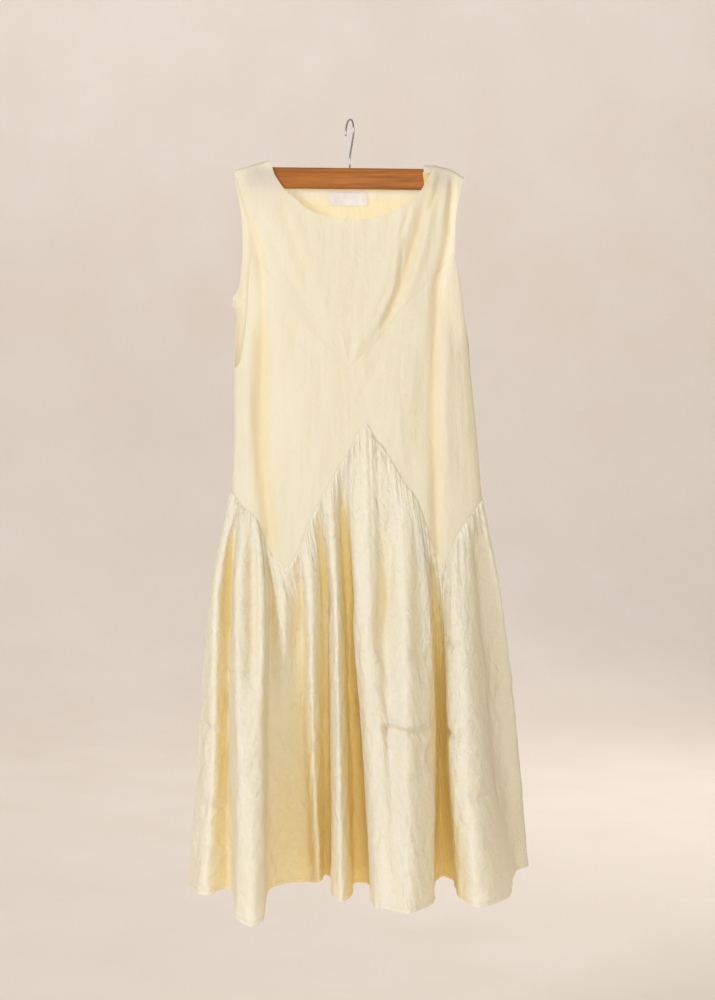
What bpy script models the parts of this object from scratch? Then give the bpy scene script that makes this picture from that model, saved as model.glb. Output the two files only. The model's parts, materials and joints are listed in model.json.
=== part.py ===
"""Sleeveless midi dress hanging on a straight wooden bar hanger.

Metres, +Z up. The front faces -Y and +X is to the right of someone who looks at the front.
The origin is the point on the underside of the hook's crown that rests on a rail.
Tables are in millimetres: x to the right, drop downwards from the origin, and out away from the
middle plane of the dress, forwards for a front piece and backwards for a back piece.
"""

import math

import bmesh
import bpy
import numpy as np

MM = 0.001

# Cloth walls and seams
CLOTH_WALL = 1.5
LABEL_WALL = 1.0
SEAM_SETBACK = 0.25
SIDE_SETBACK = 0.7
GATHERED_SETBACK = 0.7
MITRE_LIMIT = 0.2
LABEL_CLEARANCE = 0.3

# Hanger
BAR_LENGTH = 314.0
BAR_HEIGHT = 32.4
BAR_THICKNESS = 12.0
BAR_CENTRE_X = -3.0
BAR_CENTRE_DROP = 90.3
BAR_TILT_DEGREES = 0.65
BAR_EDGE_RADIUS = 3.0
BAR_EDGE_STEPS = 2
WIRE_DIAMETER = 2.8
HOOK_RADIUS = 18.5
HOOK_TWIST_DEGREES = 20.0
HOOK_BEND_DROP = 56.0
HOOK_BEND_REACH = 6.0
HOOK_BEND_STEPS = 5
HOOK_RUN_MIDDLE = 0.6
HOOK_TIP_DEGREES = 195.0
HOOK_ARC_STEPS = 18
STEM_END_DROP = 92.0
STEM_HOLE_CLEARANCE = 0.3
STEM_HOLE_SIDES = 16

# Shoulders
SHOULDER_ROLL_HEIGHT = 6.0
SHOULDER_ROW_DROPS = (0.0, 0.5, 1.8, 3.8, 6.5)

# Bodice sections: drop, left edge x, right edge x, half depth, roundness
# A low roundness keeps the section flat across the bar, and 1 is an ellipse.
BODICE_SECTIONS = (
    (55, -190, 184, 12.2, 0.35),
    (85, -185, 181, 12.5, 0.35),
    (110, -181, 175, 13.2, 0.40),
    (155, -176, 170, 17, 0.55),
    (200, -175, 169, 22, 0.70),
    (250, -177, 177, 26, 0.80),
    (300, -180, 182, 29, 0.85),
    (350, -181.5, 186, 31, 0.90),
    (400, -181, 190, 33, 0.90),
    (450, -181.5, 195, 35, 0.90),
    (500, -182, 200, 37, 0.90),
    (550, -184, 204, 38, 0.90),
    (600, -187, 208, 39, 0.90),
    (710, -190, 212, 41, 0.90),
)

# Crest of both shoulders: x, drop
SHOULDER_CREST = (
    (-190, 81), (-182, 78.5), (-126, 62), (-112, 58),
    (116, 65), (130, 69.5), (157, 76), (178, 88.5), (186, 93),
)

# Upper edge of the front, shoulder to shoulder: x, drop
FRONT_TOP = (
    (-182, 78.5), (-126, 62), (-120.5, 78.5), (-114, 90), (-103, 106), (-85.5, 122.5), (-58, 142.5), (-22, 152),
    (16, 155), (53, 148), (75.5, 138), (98.5, 123), (111, 109), (119, 96), (125.5, 84), (130, 69.5), (157, 76),
    (178, 88.5),
)

# Upper edge of the back, shoulder to shoulder: x, drop
BACK_TOP = (
    (-182, 78.5), (-126, 62), (-119, 77), (-106, 89), (-88, 96), (-70, 100), (-30, 103), (20, 104), (70, 101),
    (95, 97), (112, 90), (124, 81), (130, 69.5), (157, 76), (178, 88.5),
)

# Armhole edges of the yoke, shoulder to V seam: x, drop
YOKE_ARMHOLE_LEFT = ((-182, 78.5), (-176, 92), (-166.5, 124), (-156, 162), (-154, 190), (-152, 210))
YOKE_ARMHOLE_RIGHT = ((178, 88.5), (173, 110), (168.5, 130), (165, 160), (164, 185), (165, 209))

# Armhole edges of the lower front panels: x, drop
PANEL_ARMHOLE_LEFT = (
    (-182, 386), (-176, 383), (-173, 379), (-164, 338), (-162, 319), (-159, 287), (-156.5, 240), (-152, 210),
)
PANEL_ARMHOLE_RIGHT = ((165, 209), (169, 232), (174, 257), (179, 299), (182.5, 335), (187, 348))

# Edges of the back, shoulder to underarm and on down the side seam: x, drop
BACK_EDGE_LEFT = (
    (-182, 78.5), (-176, 112), (-170, 150), (-168, 196), (-171, 240), (-177, 300), (-180, 350), (-182, 386),
    (-185.7, 576),
)
BACK_EDGE_RIGHT = (
    (178, 88.5), (166, 118), (157, 150), (152, 196), (156, 240), (166, 292), (178, 335), (187, 348), (207.5, 590),
)

# Top-stitched V seam of the yoke: x, drop
V_SEAM = (
    (-152, 210), (-110, 262), (-69, 315.5), (-53, 333), (-38.5, 350), (-23.5, 371), (-2.5, 388),
    (10, 375), (23.5, 363.5), (42, 345), (61, 323.5), (76, 303), (118, 257), (165, 209),
)
V_TIP = 6

# Rows of the upper edges at the two neck points, and the shares across at which the columns meet them
LEFT_NECK_POINT = 1
RIGHT_NECK_POINT = -3
FRONT_NECK_SHARES = (0.1, 0.9)
BACK_NECK_SHARES = (0.14, 0.81)

# Zigzag seam between bodice and skirt: x, drop
ZIGZAG_SEAM = (
    (-185.7, 576), (-168.5, 600.5), (-148, 616), (-136, 646), (-119.5, 677.5), (-99, 698.5), (-86.5, 683),
    (-68.5, 639), (-42.5, 585.5), (-15.5, 537.5), (-2.5, 518), (12.5, 486.5), (26.5, 471),
    (40, 495), (55, 513), (70, 537.5), (85.5, 564.5), (103.5, 589), (118.5, 630), (141, 706.5),
    (156.5, 670), (167, 646), (180, 627), (193, 610.5), (207.5, 590),
)
ZIGZAG_APEX = 12
# Rows of the zigzag below the upper corners of the lower front panels, and their shares across those panels
LEFT_PANEL_CORNER = 2
RIGHT_PANEL_CORNER = 23
LEFT_CORNER_SHARE = 0.3
RIGHT_CORNER_SHARE = 0.7

# Drag folds of the front, each a soft trough through three places: name, x, drop, x, drop, x, drop, reach, depth
# A negative depth is a ridge.
FRONT_DRAGS = (
    ("armhole_to_side", -150, 165, -136, 250, -135, 330, 9, 6.0),
    ("side_trough", -135, 330, -139, 480, -122, 668, 11, 7.0),
    ("strap_to_yoke", 131, 84, 108, 170, 57, 322, 8, 7.5),
    ("beside_strap_fold", 82, 146, 60, 231, 8, 367, 10, -3.0),
    ("below_yoke", 53, 352, 39, 392, 19, 427, 7, 3.0),
    ("strap_to_side", 160, 90, 156, 165, 136, 262, 8, 6.0),
    ("long_trough", 136, 262, 131, 440, 137, 690, 9, 7.0),
    ("short_strap_fold", 147, 84, 141, 111, 131, 154, 6, 3.5),
    ("above_apex", 102, 455, 102, 500, 103, 548, 9, 2.0),
    ("left_neck_fold", -108, 118, -88, 180, -70, 250, 11, 2.0),
)
DRAG_END_FADE = 45.0
# Turn past which a drag fold grows weaker towards the side
DRAG_SIDE_DEGREES = 80
# Share of a drag fold's depth where the cloth lies on the bar, and the drops between which it grows to the whole
DRAG_ON_BAR = 0.35
DRAG_FULL_DROPS = (108.0, 150.0)

# Crumple of the back armhole edge that stands out on the left: drop, reach along the edge, reach out
CRUMPLE_DROP = 280.0
CRUMPLE_HALF_LENGTH = 15.0
CRUMPLE_OUT = 9.0
CRUMPLE_START_DEGREES = 62.0

# Skirt levels between seam and hem
UPPER_LEVEL_DROP = 750.0
LOWER_LEVEL_DROP = 970.0

# Front skirt, a row for each crest, wall and valley:
# name, seam x, upper x, upper out, lower x, lower out, hem x, hem out, hem drop
FRONT_SKIRT_FOLDS = (
    ("side_left", -185.7, -223, -5, -239, -10, -257, -20, 1207),
    ("left_panel", -177, -208, 26, -212, 38, -225, 50, 1203),
    ("left_valley", -172, -191, 10, -194, 16, -192, 22, 1199),
    ("tube_1_left_wall", -167, -182, 32, -179, 58, -176, 80, 1215),
    ("tube_1_left_crest", -161, -173, 50, -167, 90, -161, 125, 1226),
    ("tube_1_dip", -153, -152, 42, -151, 90, -148, 135, 1228),
    ("tube_1_right_crest", -146, -136, 46, -136, 86, -136, 124, 1224),
    ("tube_1_right_wall", -140, -131, 28, -132, 45, -131, 75, 1213),
    ("valley_3_left", -133, -123, 15, -128, 10, -127, 18, 1203),
    ("small_fold", -119, -102, 32, -104, 3, -105, -4, 1199),
    ("valley_3_low", -99, -89, 16, -88, -2, -85, -12, 1199),
    ("valley_3_right", -85, -76, 14, -74, -2, -65, -14, 1199),
    ("soft_ridge", -71, -60, 38, -57, 26, -48, 8, 1193),
    ("beside_ridge", -56, -42, 14, -40, -8, -40, -46, 1196),
    ("tube_2_left_floor", -50, -35, 14, -33, -8, -32, -42, 1197),
    ("tube_2_left_wall", -43, -29, 27, -28, 22, -26, 25, 1201),
    ("tube_2_crest", -31, -21, 44, -17, 62, -13, 84, 1201),
    ("tube_2_right_wall", -20, -12, 24, -7, 28, 1, 40, 1202),
    ("valley_5_left", -12, -5, 9, 3, -8, 10, -14, 1200),
    ("valley_5_right", -5, 1, 15, 16, 0, 28, -10, 1200),
    ("tube_3_left_wall", 1, 6, 38, 21, 48, 36, 75, 1201),
    ("tube_3_left_crest", 9, 16, 55, 32, 86, 47, 120, 1201),
    ("tube_3_crown", 25, 33, 58, 46, 98, 59, 138, 1201),
    ("tube_3_dip", 45, 53, 43, 61, 92, 74, 148, 1203),
    ("tube_3_right_crest", 67, 85, 62, 88, 112, 90, 156, 1202),
    ("tube_3_right_dip", 88, 109, 44, 111, 94, 107, 140, 1200),
    ("tube_3_right_edge", 102, 123, 38, 130, 62, 124, 100, 1200),
    ("tube_3_right_wall", 114, 127, 23, 135, 14, 131, 20, 1199),
    ("valley_7_floor", 128, 136, 14, 143, -26, 149, -52, 1199),
    ("valley_7_right", 141, 146, 18, 150, -4, 164, -28, 1199),
    ("tube_4_left_wall", 150, 151, 31, 152, 36, 166, 32, 1197),
    ("tube_4_left_crest", 159, 158, 46, 158, 80, 174, 90, 1200),
    ("tube_4_crown", 169, 170, 53, 176, 99, 196, 125, 1202),
    ("tube_4_right_crown", 177, 182, 47, 197, 90, 220, 110, 1200),
    ("tube_4_right_edge", 187, 201, 28, 214, 55, 247, 68, 1200),
    ("tube_4_right_wall", 193, 210, 8, 224, 6, 257, 0, 1195),
    ("side_valley", 199, 222, -4, 241, -12, 268, -46, 1189),
    ("side_edge", 203, 237, -7, 264, -18, 287, -66, 1188),
    ("side_right", 207.5, 239, -17, 265, -40, 287, -100, 1188),
)

# Back skirt, the same columns as the front skirt
BACK_SKIRT_FOLDS = (
    ("side_left", -185.7, -223, 5, -239, 10, -257, 20, 1207),
    ("turn_left", -177, -213, 32, -226, 56, -241, 84, 1204),
    ("fold_1", -160, -186, 56, -196, 96, -206, 138, 1202),
    ("valley_1", -143, -161, 44, -168, 64, -173, 90, 1201),
    ("fold_2", -125, -136, 60, -140, 108, -140, 150, 1202),
    ("valley_2", -104, -112, 46, -110, 72, -108, 104, 1200),
    ("fold_3", -84, -88, 60, -82, 96, -76, 136, 1200),
    ("valley_3", -64, -62, 47, -54, 70, -44, 106, 1200),
    ("fold_4", -42, -38, 63, -28, 110, -12, 154, 1201),
    ("valley_4", -20, -12, 50, -2, 76, 18, 110, 1200),
    ("fold_5", 5, 12, 64, 24, 112, 48, 158, 1201),
    ("valley_5", 27, 36, 50, 50, 72, 78, 108, 1200),
    ("fold_6", 48, 60, 61, 76, 102, 108, 146, 1201),
    ("valley_6", 70, 86, 47, 104, 70, 134, 100, 1200),
    ("fold_7", 92, 106, 62, 132, 106, 166, 150, 1201),
    ("valley_7", 116, 126, 45, 158, 66, 194, 100, 1199),
    ("fold_8", 140, 147, 56, 184, 98, 224, 144, 1198),
    ("valley_8", 160, 173, 42, 209, 70, 246, 112, 1194),
    ("turn_right", 183, 218, 40, 246, 76, 273, 136, 1190),
    ("side_right", 207.5, 239, 17, 265, 40, 287, 100, 1188),
)
FRONT_SKIRT_STEPS = 3
BACK_SKIRT_STEPS = 4
SEAM_FADE = 0.22

# Gathers along the zigzag seam
GATHER_HEIGHT = 1.7
GATHER_AT_SEAM = 0.15
GATHER_REACH = 0.16
GATHER_STEEPNESS = 0.3
# Share of a step along the seam that is level, under which the gathers grow lower
GATHER_LEVEL_SHARE = 0.5
SKIRT_ROWS = (0.0, 0.015, 0.05, 0.12, 0.22, 0.36, 0.52, 0.68, 0.84, 1.0)

# Columns and rows of the bodice pieces
YOKE_COLUMNS = 30
YOKE_ROWS = 6
PANEL_COLUMNS = 20
PANEL_ROWS = 6
BACK_COLUMNS = 36
BACK_ROWS = 7
EDGE_PULL = 3

# Neck label: left x, right x, upper drop, lower drop
LABEL_BOX = (-34.0, 28.0, 110.0, 131.0)
LABEL_COLUMNS = 6
LABEL_ROWS = 2

# Colours as linear red, green, blue
COTTON = (0.86, 0.77, 0.50)
SATIN = (0.80, 0.78, 0.74)
WOOD = (0.45, 0.20, 0.055)
STEEL = (0.45, 0.45, 0.46)


def smooth(knots, values, at):
    """Height at each place of a smooth curve through the knots, which never overshoots them."""
    knots = np.asarray(knots, float)
    values = np.asarray(values, float)
    step = np.diff(knots)
    slope = np.diff(values) / step
    tangent = np.concatenate(([slope[0]], np.zeros(len(step) - 1), [slope[-1]]))
    before, after = slope[:-1], slope[1:]
    same = before * after > 0
    tangent[1:-1][same] = 2 * before[same] * after[same] / (before[same] + after[same])
    at = np.clip(np.asarray(at, float), knots[0], knots[-1])
    index = np.clip(np.searchsorted(knots, at, side="right") - 1, 0, len(step) - 1)
    t = (at - knots[index]) / step[index]
    rise = values[index] * (2 * t**3 - 3 * t**2 + 1) + values[index + 1] * (3 * t**2 - 2 * t**3)
    lean = tangent[index] * (t**3 - 2 * t**2 + t) + tangent[index + 1] * (t**3 - t**2)
    return rise + lean * step[index]


def section(drop):
    """Middle x, half width, half depth and roundness of the bodice at a drop."""
    drops, lefts, rights, depths, rounds = np.array(BODICE_SECTIONS, float).T
    left, right = smooth(drops, lefts, drop), smooth(drops, rights, drop)
    return (left + right) / 2, (right - left) / 2, smooth(drops, depths, drop), smooth(drops, rounds, drop)


def turn_of(x, drop):
    """How far round its section a place of the bodice lies, from -90 degrees at the left side to 90."""
    middle, half, _, _ = section(drop)
    return np.arcsin(np.clip((np.asarray(x, float) - middle) / half, -1.0, 1.0))


def drag_depth(x, drop):
    """Inward depth of the drag folds at a place of the front."""
    total = np.zeros(np.broadcast(x, drop).shape)
    for _, x0, drop0, x1, drop1, x2, drop2, reach, depth in FRONT_DRAGS:
        centre = smooth((drop0, drop1, drop2), (x0, x1, x2), drop)
        start = np.clip((drop - drop0) / DRAG_END_FADE + 0.5, 0, 1)
        end = np.clip((drop2 - drop) / DRAG_END_FADE + 0.5, 0, 1)
        total += depth * start * end * np.exp(-(((x - centre) / reach) ** 2))
    return total


def bodice_place(turn, drop, side):
    """Place on the bodice in millimetres: side is -1 on the front and 1 on the back."""
    middle, half, depth, roundness = section(drop)
    x = middle + half * np.sin(turn)
    out = depth * np.clip(np.cos(turn), 0.0, 1.0) ** roundness
    crest_x, crest_drop = np.array(SHOULDER_CREST, float).T
    below = np.clip((drop - np.interp(x, crest_x, crest_drop)) / SHOULDER_ROLL_HEIGHT, 0.0, 1.0)
    out = out * np.sqrt(1 - (1 - below) ** 2)
    if side < 0:
        at_side = np.clip(np.cos(turn) / math.cos(math.radians(DRAG_SIDE_DEGREES)), 0.0, 1.0)
        bar_end, full = DRAG_FULL_DROPS
        past_bar = np.clip((drop - bar_end) / (full - bar_end), 0.0, 1.0)
        out = out - drag_depth(x, drop) * at_side * below * (DRAG_ON_BAR + (1 - DRAG_ON_BAR) * past_bar)
    else:
        near_edge = np.clip((-np.degrees(turn) - CRUMPLE_START_DEGREES) / (90 - CRUMPLE_START_DEGREES), 0, 1)
        x = x - CRUMPLE_OUT * near_edge * np.exp(-(((drop - CRUMPLE_DROP) / CRUMPLE_HALF_LENGTH) ** 2))
    return np.stack([x, side * out, -drop], axis=-1)


def spread(values, start=0.0, end=1.0):
    """Values spaced as they are, but from start to end."""
    values = np.asarray(values, float)
    return start + (end - start) * (values - values[0]) / (values[-1] - values[0])


def by_x(table, start=0.0, end=1.0):
    """Shares of the rows of an edge by how far across they lie."""
    return spread([row[0] for row in table], start, end)


def by_drop(table, start=0.0, end=1.0):
    """Shares of the rows of an edge by how far down they lie."""
    return spread([row[1] for row in table], start, end)


def by_length(table, start=0.0, end=1.0):
    """Shares of the rows of an edge by the length of edge before them."""
    steps = np.diff(np.array(table, float), axis=0)
    return spread(np.concatenate(([0.0], np.cumsum(np.hypot(*steps.T)))), start, end)


def on_columns(shares, columns):
    """Shares moved each to a column of its own, so that each row of a seam table is a corner of both its pieces."""
    nearest = np.round(np.asarray(shares) * columns).astype(int)
    for index in range(1, len(nearest)):
        nearest[index] = max(nearest[index], nearest[index - 1] + 1)
    nearest[-1] = columns
    for index in range(len(nearest) - 2, 0, -1):
        nearest[index] = min(nearest[index], nearest[index + 1] - 1)
    return nearest / columns


def edge_across(table, shares):
    """Function that gives turn and drop at shares of an upper or lower edge, straight from row to row."""
    x, drop = np.array(table, float).T

    def places(at):
        at_drop = np.interp(at, shares, drop)
        return np.stack([turn_of(np.interp(at, shares, x), at_drop), at_drop], axis=-1)

    return places


def edge_down(table, shares):
    """Function that gives turn and drop at shares of a side edge, whose turn runs evenly from row to row."""
    x, drop = np.array(table, float).T
    turn = turn_of(x, drop)
    return lambda at: np.stack([np.interp(at, shares, turn), np.interp(at, shares, drop)], axis=-1)


def patch(top, bottom, left, right, across, down):
    """Turn and drop inside four edges, at one share across for each column and one share down for each place.

    Columns run straight from the upper to the lower edge, but bend along with a side edge that is near.
    """
    u = across[None, :, None]
    v = down[:, :, None]
    upper, lower = top(across), bottom(across)
    left_bend = left(down) - (1 - v) * upper[0] - v * lower[0]
    right_bend = right(down) - (1 - v) * upper[-1] - v * lower[-1]
    return (1 - v) * upper + v * lower + (1 - u) ** EDGE_PULL * left_bend + u**EDGE_PULL * right_bend


def top_shares(table, neck_shares, columns):
    """Shares of the rows of an upper edge by length, with the two neck points at shares of their own."""
    start, end = neck_shares
    left = by_length(table[: LEFT_NECK_POINT + 1], 0.0, start)
    neck = by_length(table[LEFT_NECK_POINT : RIGHT_NECK_POINT + 1], start, end)
    right = by_length(table[RIGHT_NECK_POINT:], end, 1.0)
    return on_columns(np.concatenate([left, neck[1:], right[1:]]), columns)


def neck_columns(shares, columns):
    """First and last column of the neckline, at the two neck points of an upper edge."""
    return round(shares[LEFT_NECK_POINT] * columns), round(shares[RIGHT_NECK_POINT] * columns)


def shoulder_rows(columns, neck):
    """Drops of the first rows of each column: close over the shoulder roll, and none inside the neckline."""
    on_shoulder = np.ones(columns + 1)
    on_shoulder[neck[0] + 1 : neck[1]] = 0.0
    return np.outer(SHOULDER_ROW_DROPS, on_shoulder)


def shares_down(top, bottom, across, rows, first_drops=0.0):
    """Shares down each column: first the given drops below the upper edge, then even steps to the lower edge."""
    length = bottom(across)[:, 1] - top(across)[:, 1]
    first = np.atleast_2d(first_drops) / length
    rest = first[-1] + (1 - first[-1]) * np.linspace(0, 1, rows + 1)[1:, None]
    return np.vstack([first, rest])


def set_back(grid, top=0.0, bottom=0.0, left=0.0, right=0.0):
    """Moves the edges of a grid of places inwards, each by its own distance, which leaves the gap at a seam."""
    moved = grid.copy()
    for distance, at, inner in ((top, 0, 1), (bottom, -1, -2)):
        if distance:
            moved[at] += distance * inwards_from(grid[at], grid[inner])
    for distance, at, inner in ((left, 0, 1), (right, -1, -2)):
        if distance:
            moved[:, at] += distance * inwards_from(grid[:, at], grid[:, inner])
    return moved


def unit(vectors):
    """Vectors of length 1, and of length 0 where they had none."""
    length = np.linalg.norm(vectors, axis=-1, keepdims=True)
    return vectors / np.where(length > 0, length, 1.0)


def inwards_from(places, inner_places):
    """Moves that take an edge 1 mm inwards within its surface, with its corners mitred."""
    along = unit(np.diff(places, axis=0))
    ahead = unit(inner_places - places)
    ahead = ahead[1:] + ahead[:-1]
    square = unit(ahead - np.sum(ahead * along, axis=-1, keepdims=True) * along)
    before = np.vstack([square[:1], square])
    after = np.vstack([square, square[-1:]])
    return (before + after) / np.maximum(1 + np.sum(before * after, axis=-1, keepdims=True), MITRE_LIMIT)


def yoke_places():
    """Front yoke, from the shoulders and the neckline down to the V seam."""
    across = np.linspace(0, 1, YOKE_COLUMNS + 1)
    shares = top_shares(FRONT_TOP, FRONT_NECK_SHARES, YOKE_COLUMNS)
    top = edge_across(FRONT_TOP, shares)
    bottom = edge_across(V_SEAM, on_columns(by_x(V_SEAM), YOKE_COLUMNS))
    left = edge_down(YOKE_ARMHOLE_LEFT, by_drop(YOKE_ARMHOLE_LEFT))
    right = edge_down(YOKE_ARMHOLE_RIGHT, by_drop(YOKE_ARMHOLE_RIGHT))
    neck = neck_columns(shares, YOKE_COLUMNS)
    down = shares_down(top, bottom, across, YOKE_ROWS, shoulder_rows(YOKE_COLUMNS, neck))
    inside = patch(top, bottom, left, right, across, down)
    grid = bodice_place(inside[..., 0], inside[..., 1], -1)
    return set_back(grid, top=SEAM_SETBACK, bottom=SEAM_SETBACK), neck


def left_panel_places():
    """Lower front to the left of the centre seam."""
    across = np.linspace(0, 1, PANEL_COLUMNS + 1)
    seam = V_SEAM[: V_TIP + 1]
    seam_shares = on_columns(by_x(seam, LEFT_CORNER_SHARE), PANEL_COLUMNS)
    armhole_shares = by_length(PANEL_ARMHOLE_LEFT, 0.0, LEFT_CORNER_SHARE)
    top = edge_across(PANEL_ARMHOLE_LEFT + seam[1:], np.append(armhole_shares, seam_shares[1:]))
    side, middle = ZIGZAG_SEAM[: LEFT_PANEL_CORNER + 1], ZIGZAG_SEAM[LEFT_PANEL_CORNER : ZIGZAG_APEX + 1]
    shares = np.append(by_x(side, 0.0, LEFT_CORNER_SHARE), by_x(middle, LEFT_CORNER_SHARE)[1:])
    bottom = edge_across(side + middle[1:], on_columns(shares, PANEL_COLUMNS))
    side_seam = (PANEL_ARMHOLE_LEFT[0], ZIGZAG_SEAM[0])
    centre_seam = (V_SEAM[V_TIP], ZIGZAG_SEAM[ZIGZAG_APEX])
    down = shares_down(top, bottom, across, PANEL_ROWS)
    inside = patch(top, bottom, edge_down(side_seam, (0, 1)), edge_down(centre_seam, (0, 1)), across, down)
    grid = bodice_place(inside[..., 0], inside[..., 1], -1)
    return set_back(grid, SEAM_SETBACK, SEAM_SETBACK, SIDE_SETBACK, SEAM_SETBACK)


def right_panel_places():
    """Lower front to the right of the centre seam."""
    across = np.linspace(0, 1, PANEL_COLUMNS + 1)
    seam = V_SEAM[V_TIP:]
    seam_shares = on_columns(by_x(seam, 0.0, RIGHT_CORNER_SHARE), PANEL_COLUMNS)
    armhole_shares = by_length(PANEL_ARMHOLE_RIGHT, RIGHT_CORNER_SHARE)
    top = edge_across(seam + PANEL_ARMHOLE_RIGHT[1:], np.append(seam_shares, armhole_shares[1:]))
    middle, side = ZIGZAG_SEAM[ZIGZAG_APEX : RIGHT_PANEL_CORNER + 1], ZIGZAG_SEAM[RIGHT_PANEL_CORNER:]
    shares = np.append(by_x(middle, 0.0, RIGHT_CORNER_SHARE), by_x(side, RIGHT_CORNER_SHARE)[1:])
    bottom = edge_across(middle + side[1:], on_columns(shares, PANEL_COLUMNS))
    centre_seam = (V_SEAM[V_TIP], ZIGZAG_SEAM[ZIGZAG_APEX])
    side_seam = (PANEL_ARMHOLE_RIGHT[-1], ZIGZAG_SEAM[-1])
    down = shares_down(top, bottom, across, PANEL_ROWS)
    inside = patch(top, bottom, edge_down(centre_seam, (0, 1)), edge_down(side_seam, (0, 1)), across, down)
    grid = bodice_place(inside[..., 0], inside[..., 1], -1)
    return set_back(grid, SEAM_SETBACK, SEAM_SETBACK, SEAM_SETBACK, SIDE_SETBACK)


def back_places():
    """Back bodice, from the shoulders and the back neckline down to the zigzag seam."""
    across = np.linspace(0, 1, BACK_COLUMNS + 1)
    shares = top_shares(BACK_TOP, BACK_NECK_SHARES, BACK_COLUMNS)
    top = edge_across(BACK_TOP, shares)
    bottom = edge_across(ZIGZAG_SEAM, on_columns(by_x(ZIGZAG_SEAM), BACK_COLUMNS))
    left = edge_down(BACK_EDGE_LEFT, by_drop(BACK_EDGE_LEFT))
    right = edge_down(BACK_EDGE_RIGHT, by_drop(BACK_EDGE_RIGHT))
    neck = neck_columns(shares, BACK_COLUMNS)
    down = shares_down(top, bottom, across, BACK_ROWS, shoulder_rows(BACK_COLUMNS, neck))
    inside = patch(top, bottom, left, right, across, down)
    grid = bodice_place(inside[..., 0], inside[..., 1], 1)
    return set_back(grid, SEAM_SETBACK, SEAM_SETBACK, SIDE_SETBACK, SIDE_SETBACK), neck


def snap(values, knots):
    """Values with the nearest one moved onto each knot."""
    values = np.array(values, float)
    for knot in knots:
        values[np.abs(values - knot).argmin()] = knot
    return values


def curve_through(stations, steps):
    """Places on a smooth curve through the stations, with the given steps from each station to the next."""
    first, last = 2 * stations[0] - stations[1], 2 * stations[-1] - stations[-2]
    points = np.vstack([first, stations, last])
    knots = np.concatenate(([0.0], np.cumsum(np.linalg.norm(np.diff(points, axis=0), axis=1) ** 0.5)))
    places = []
    for index in range(1, len(points) - 2):
        t0, t1, t2, t3 = knots[index - 1 : index + 3]
        p0, p1, p2, p3 = points[index - 1 : index + 3]
        for t in np.linspace(t1, t2, steps + 1)[: steps + (index == len(points) - 3)]:
            a1 = (t1 - t) / (t1 - t0) * p0 + (t - t0) / (t1 - t0) * p1
            a2 = (t2 - t) / (t2 - t1) * p1 + (t - t1) / (t2 - t1) * p2
            a3 = (t3 - t) / (t3 - t2) * p2 + (t - t2) / (t3 - t2) * p3
            b1 = (t2 - t) / (t2 - t0) * a1 + (t - t0) / (t2 - t0) * a2
            b2 = (t3 - t) / (t3 - t1) * a2 + (t - t1) / (t3 - t1) * a3
            places.append((t2 - t) / (t2 - t1) * b1 + (t - t1) / (t2 - t1) * b2)
    return np.array(places)


def skirt_places(folds, steps, row_shares, side):
    """Gathered skirt panel, from the zigzag seam down to the hem."""
    _, seam_x, upper_x, upper_out, lower_x, lower_out, hem_x, hem_out, hem_drop = zip(*folds)
    zigzag_x, zigzag_drop = np.array(ZIGZAG_SEAM, float).T
    stations = np.arange(len(folds))
    columns = np.linspace(0, stations[-1], stations[-1] * steps + 1)

    column_x = snap(np.interp(columns, stations, seam_x), zigzag_x)
    column_drop = np.interp(column_x, zigzag_x, zigzag_drop)
    seam = bodice_place(turn_of(column_x, column_drop), column_drop, side)

    station_drop = np.interp(seam_x, zigzag_x, zigzag_drop)
    station_seam = bodice_place(turn_of(seam_x, station_drop), station_drop, side)
    rows = []
    for share in row_shares:
        drops = station_drop + share * (np.array(hem_drop) - station_drop)
        level = []
        for index, drop in enumerate(drops):
            keys = (station_drop[index], UPPER_LEVEL_DROP, LOWER_LEVEL_DROP, hem_drop[index])
            xs = (station_seam[index, 0], upper_x[index], lower_x[index], hem_x[index])
            outs = (side * station_seam[index, 1], upper_out[index], lower_out[index], hem_out[index])
            level.append((smooth(keys, xs, drop), side * smooth(keys, outs, drop), -drop))
        rows.append(curve_through(np.array(level), steps))
    grid = np.array(rows)

    fade = np.clip(1 - np.array(row_shares) / SEAM_FADE, 0, 1)[:, None, None] ** 2
    grid += (seam - grid[0]) * fade
    grid += gathers(grid, row_shares)
    return set_back(grid, top=GATHERED_SETBACK, left=SIDE_SETBACK, right=SIDE_SETBACK)


def gathers(grid, row_shares):
    """Moves that press the columns out and in by turns, strongest just below the seam."""
    along = np.gradient(grid[..., :2], axis=1)
    spacing = np.linalg.norm(along, axis=-1)
    outwards = np.stack([-along[..., 1], along[..., 0]], axis=-1) / spacing[..., None]
    shares = np.array(row_shares)
    height = GATHER_HEIGHT * np.exp(-shares / GATHER_REACH)
    height[0] = GATHER_HEIGHT * GATHER_AT_SEAM
    level = np.minimum(1.0, spacing / np.linalg.norm(np.gradient(grid, axis=1), axis=-1) / GATHER_LEVEL_SHARE)
    height = np.minimum(height[:, None], GATHER_STEEPNESS * spacing * level)
    turns = (-1.0) ** np.arange(grid.shape[1])
    turns[[0, -1]] = 0.0
    moves = np.zeros_like(grid)
    moves[..., :2] = outwards * (height * turns)[..., None]
    return moves


def label_places():
    """Neck label, on the inner face of the back."""
    left, right, upper, lower = LABEL_BOX
    x = np.linspace(left, right, LABEL_COLUMNS + 1)[None].repeat(LABEL_ROWS + 1, axis=0)
    drop = np.linspace(upper, lower, LABEL_ROWS + 1)[:, None].repeat(LABEL_COLUMNS + 1, axis=1)
    grid = bodice_place(turn_of(x, drop), drop, 1)
    grid[..., 1] -= CLOTH_WALL / 2 + LABEL_CLEARANCE + LABEL_WALL / 2
    return grid


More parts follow.
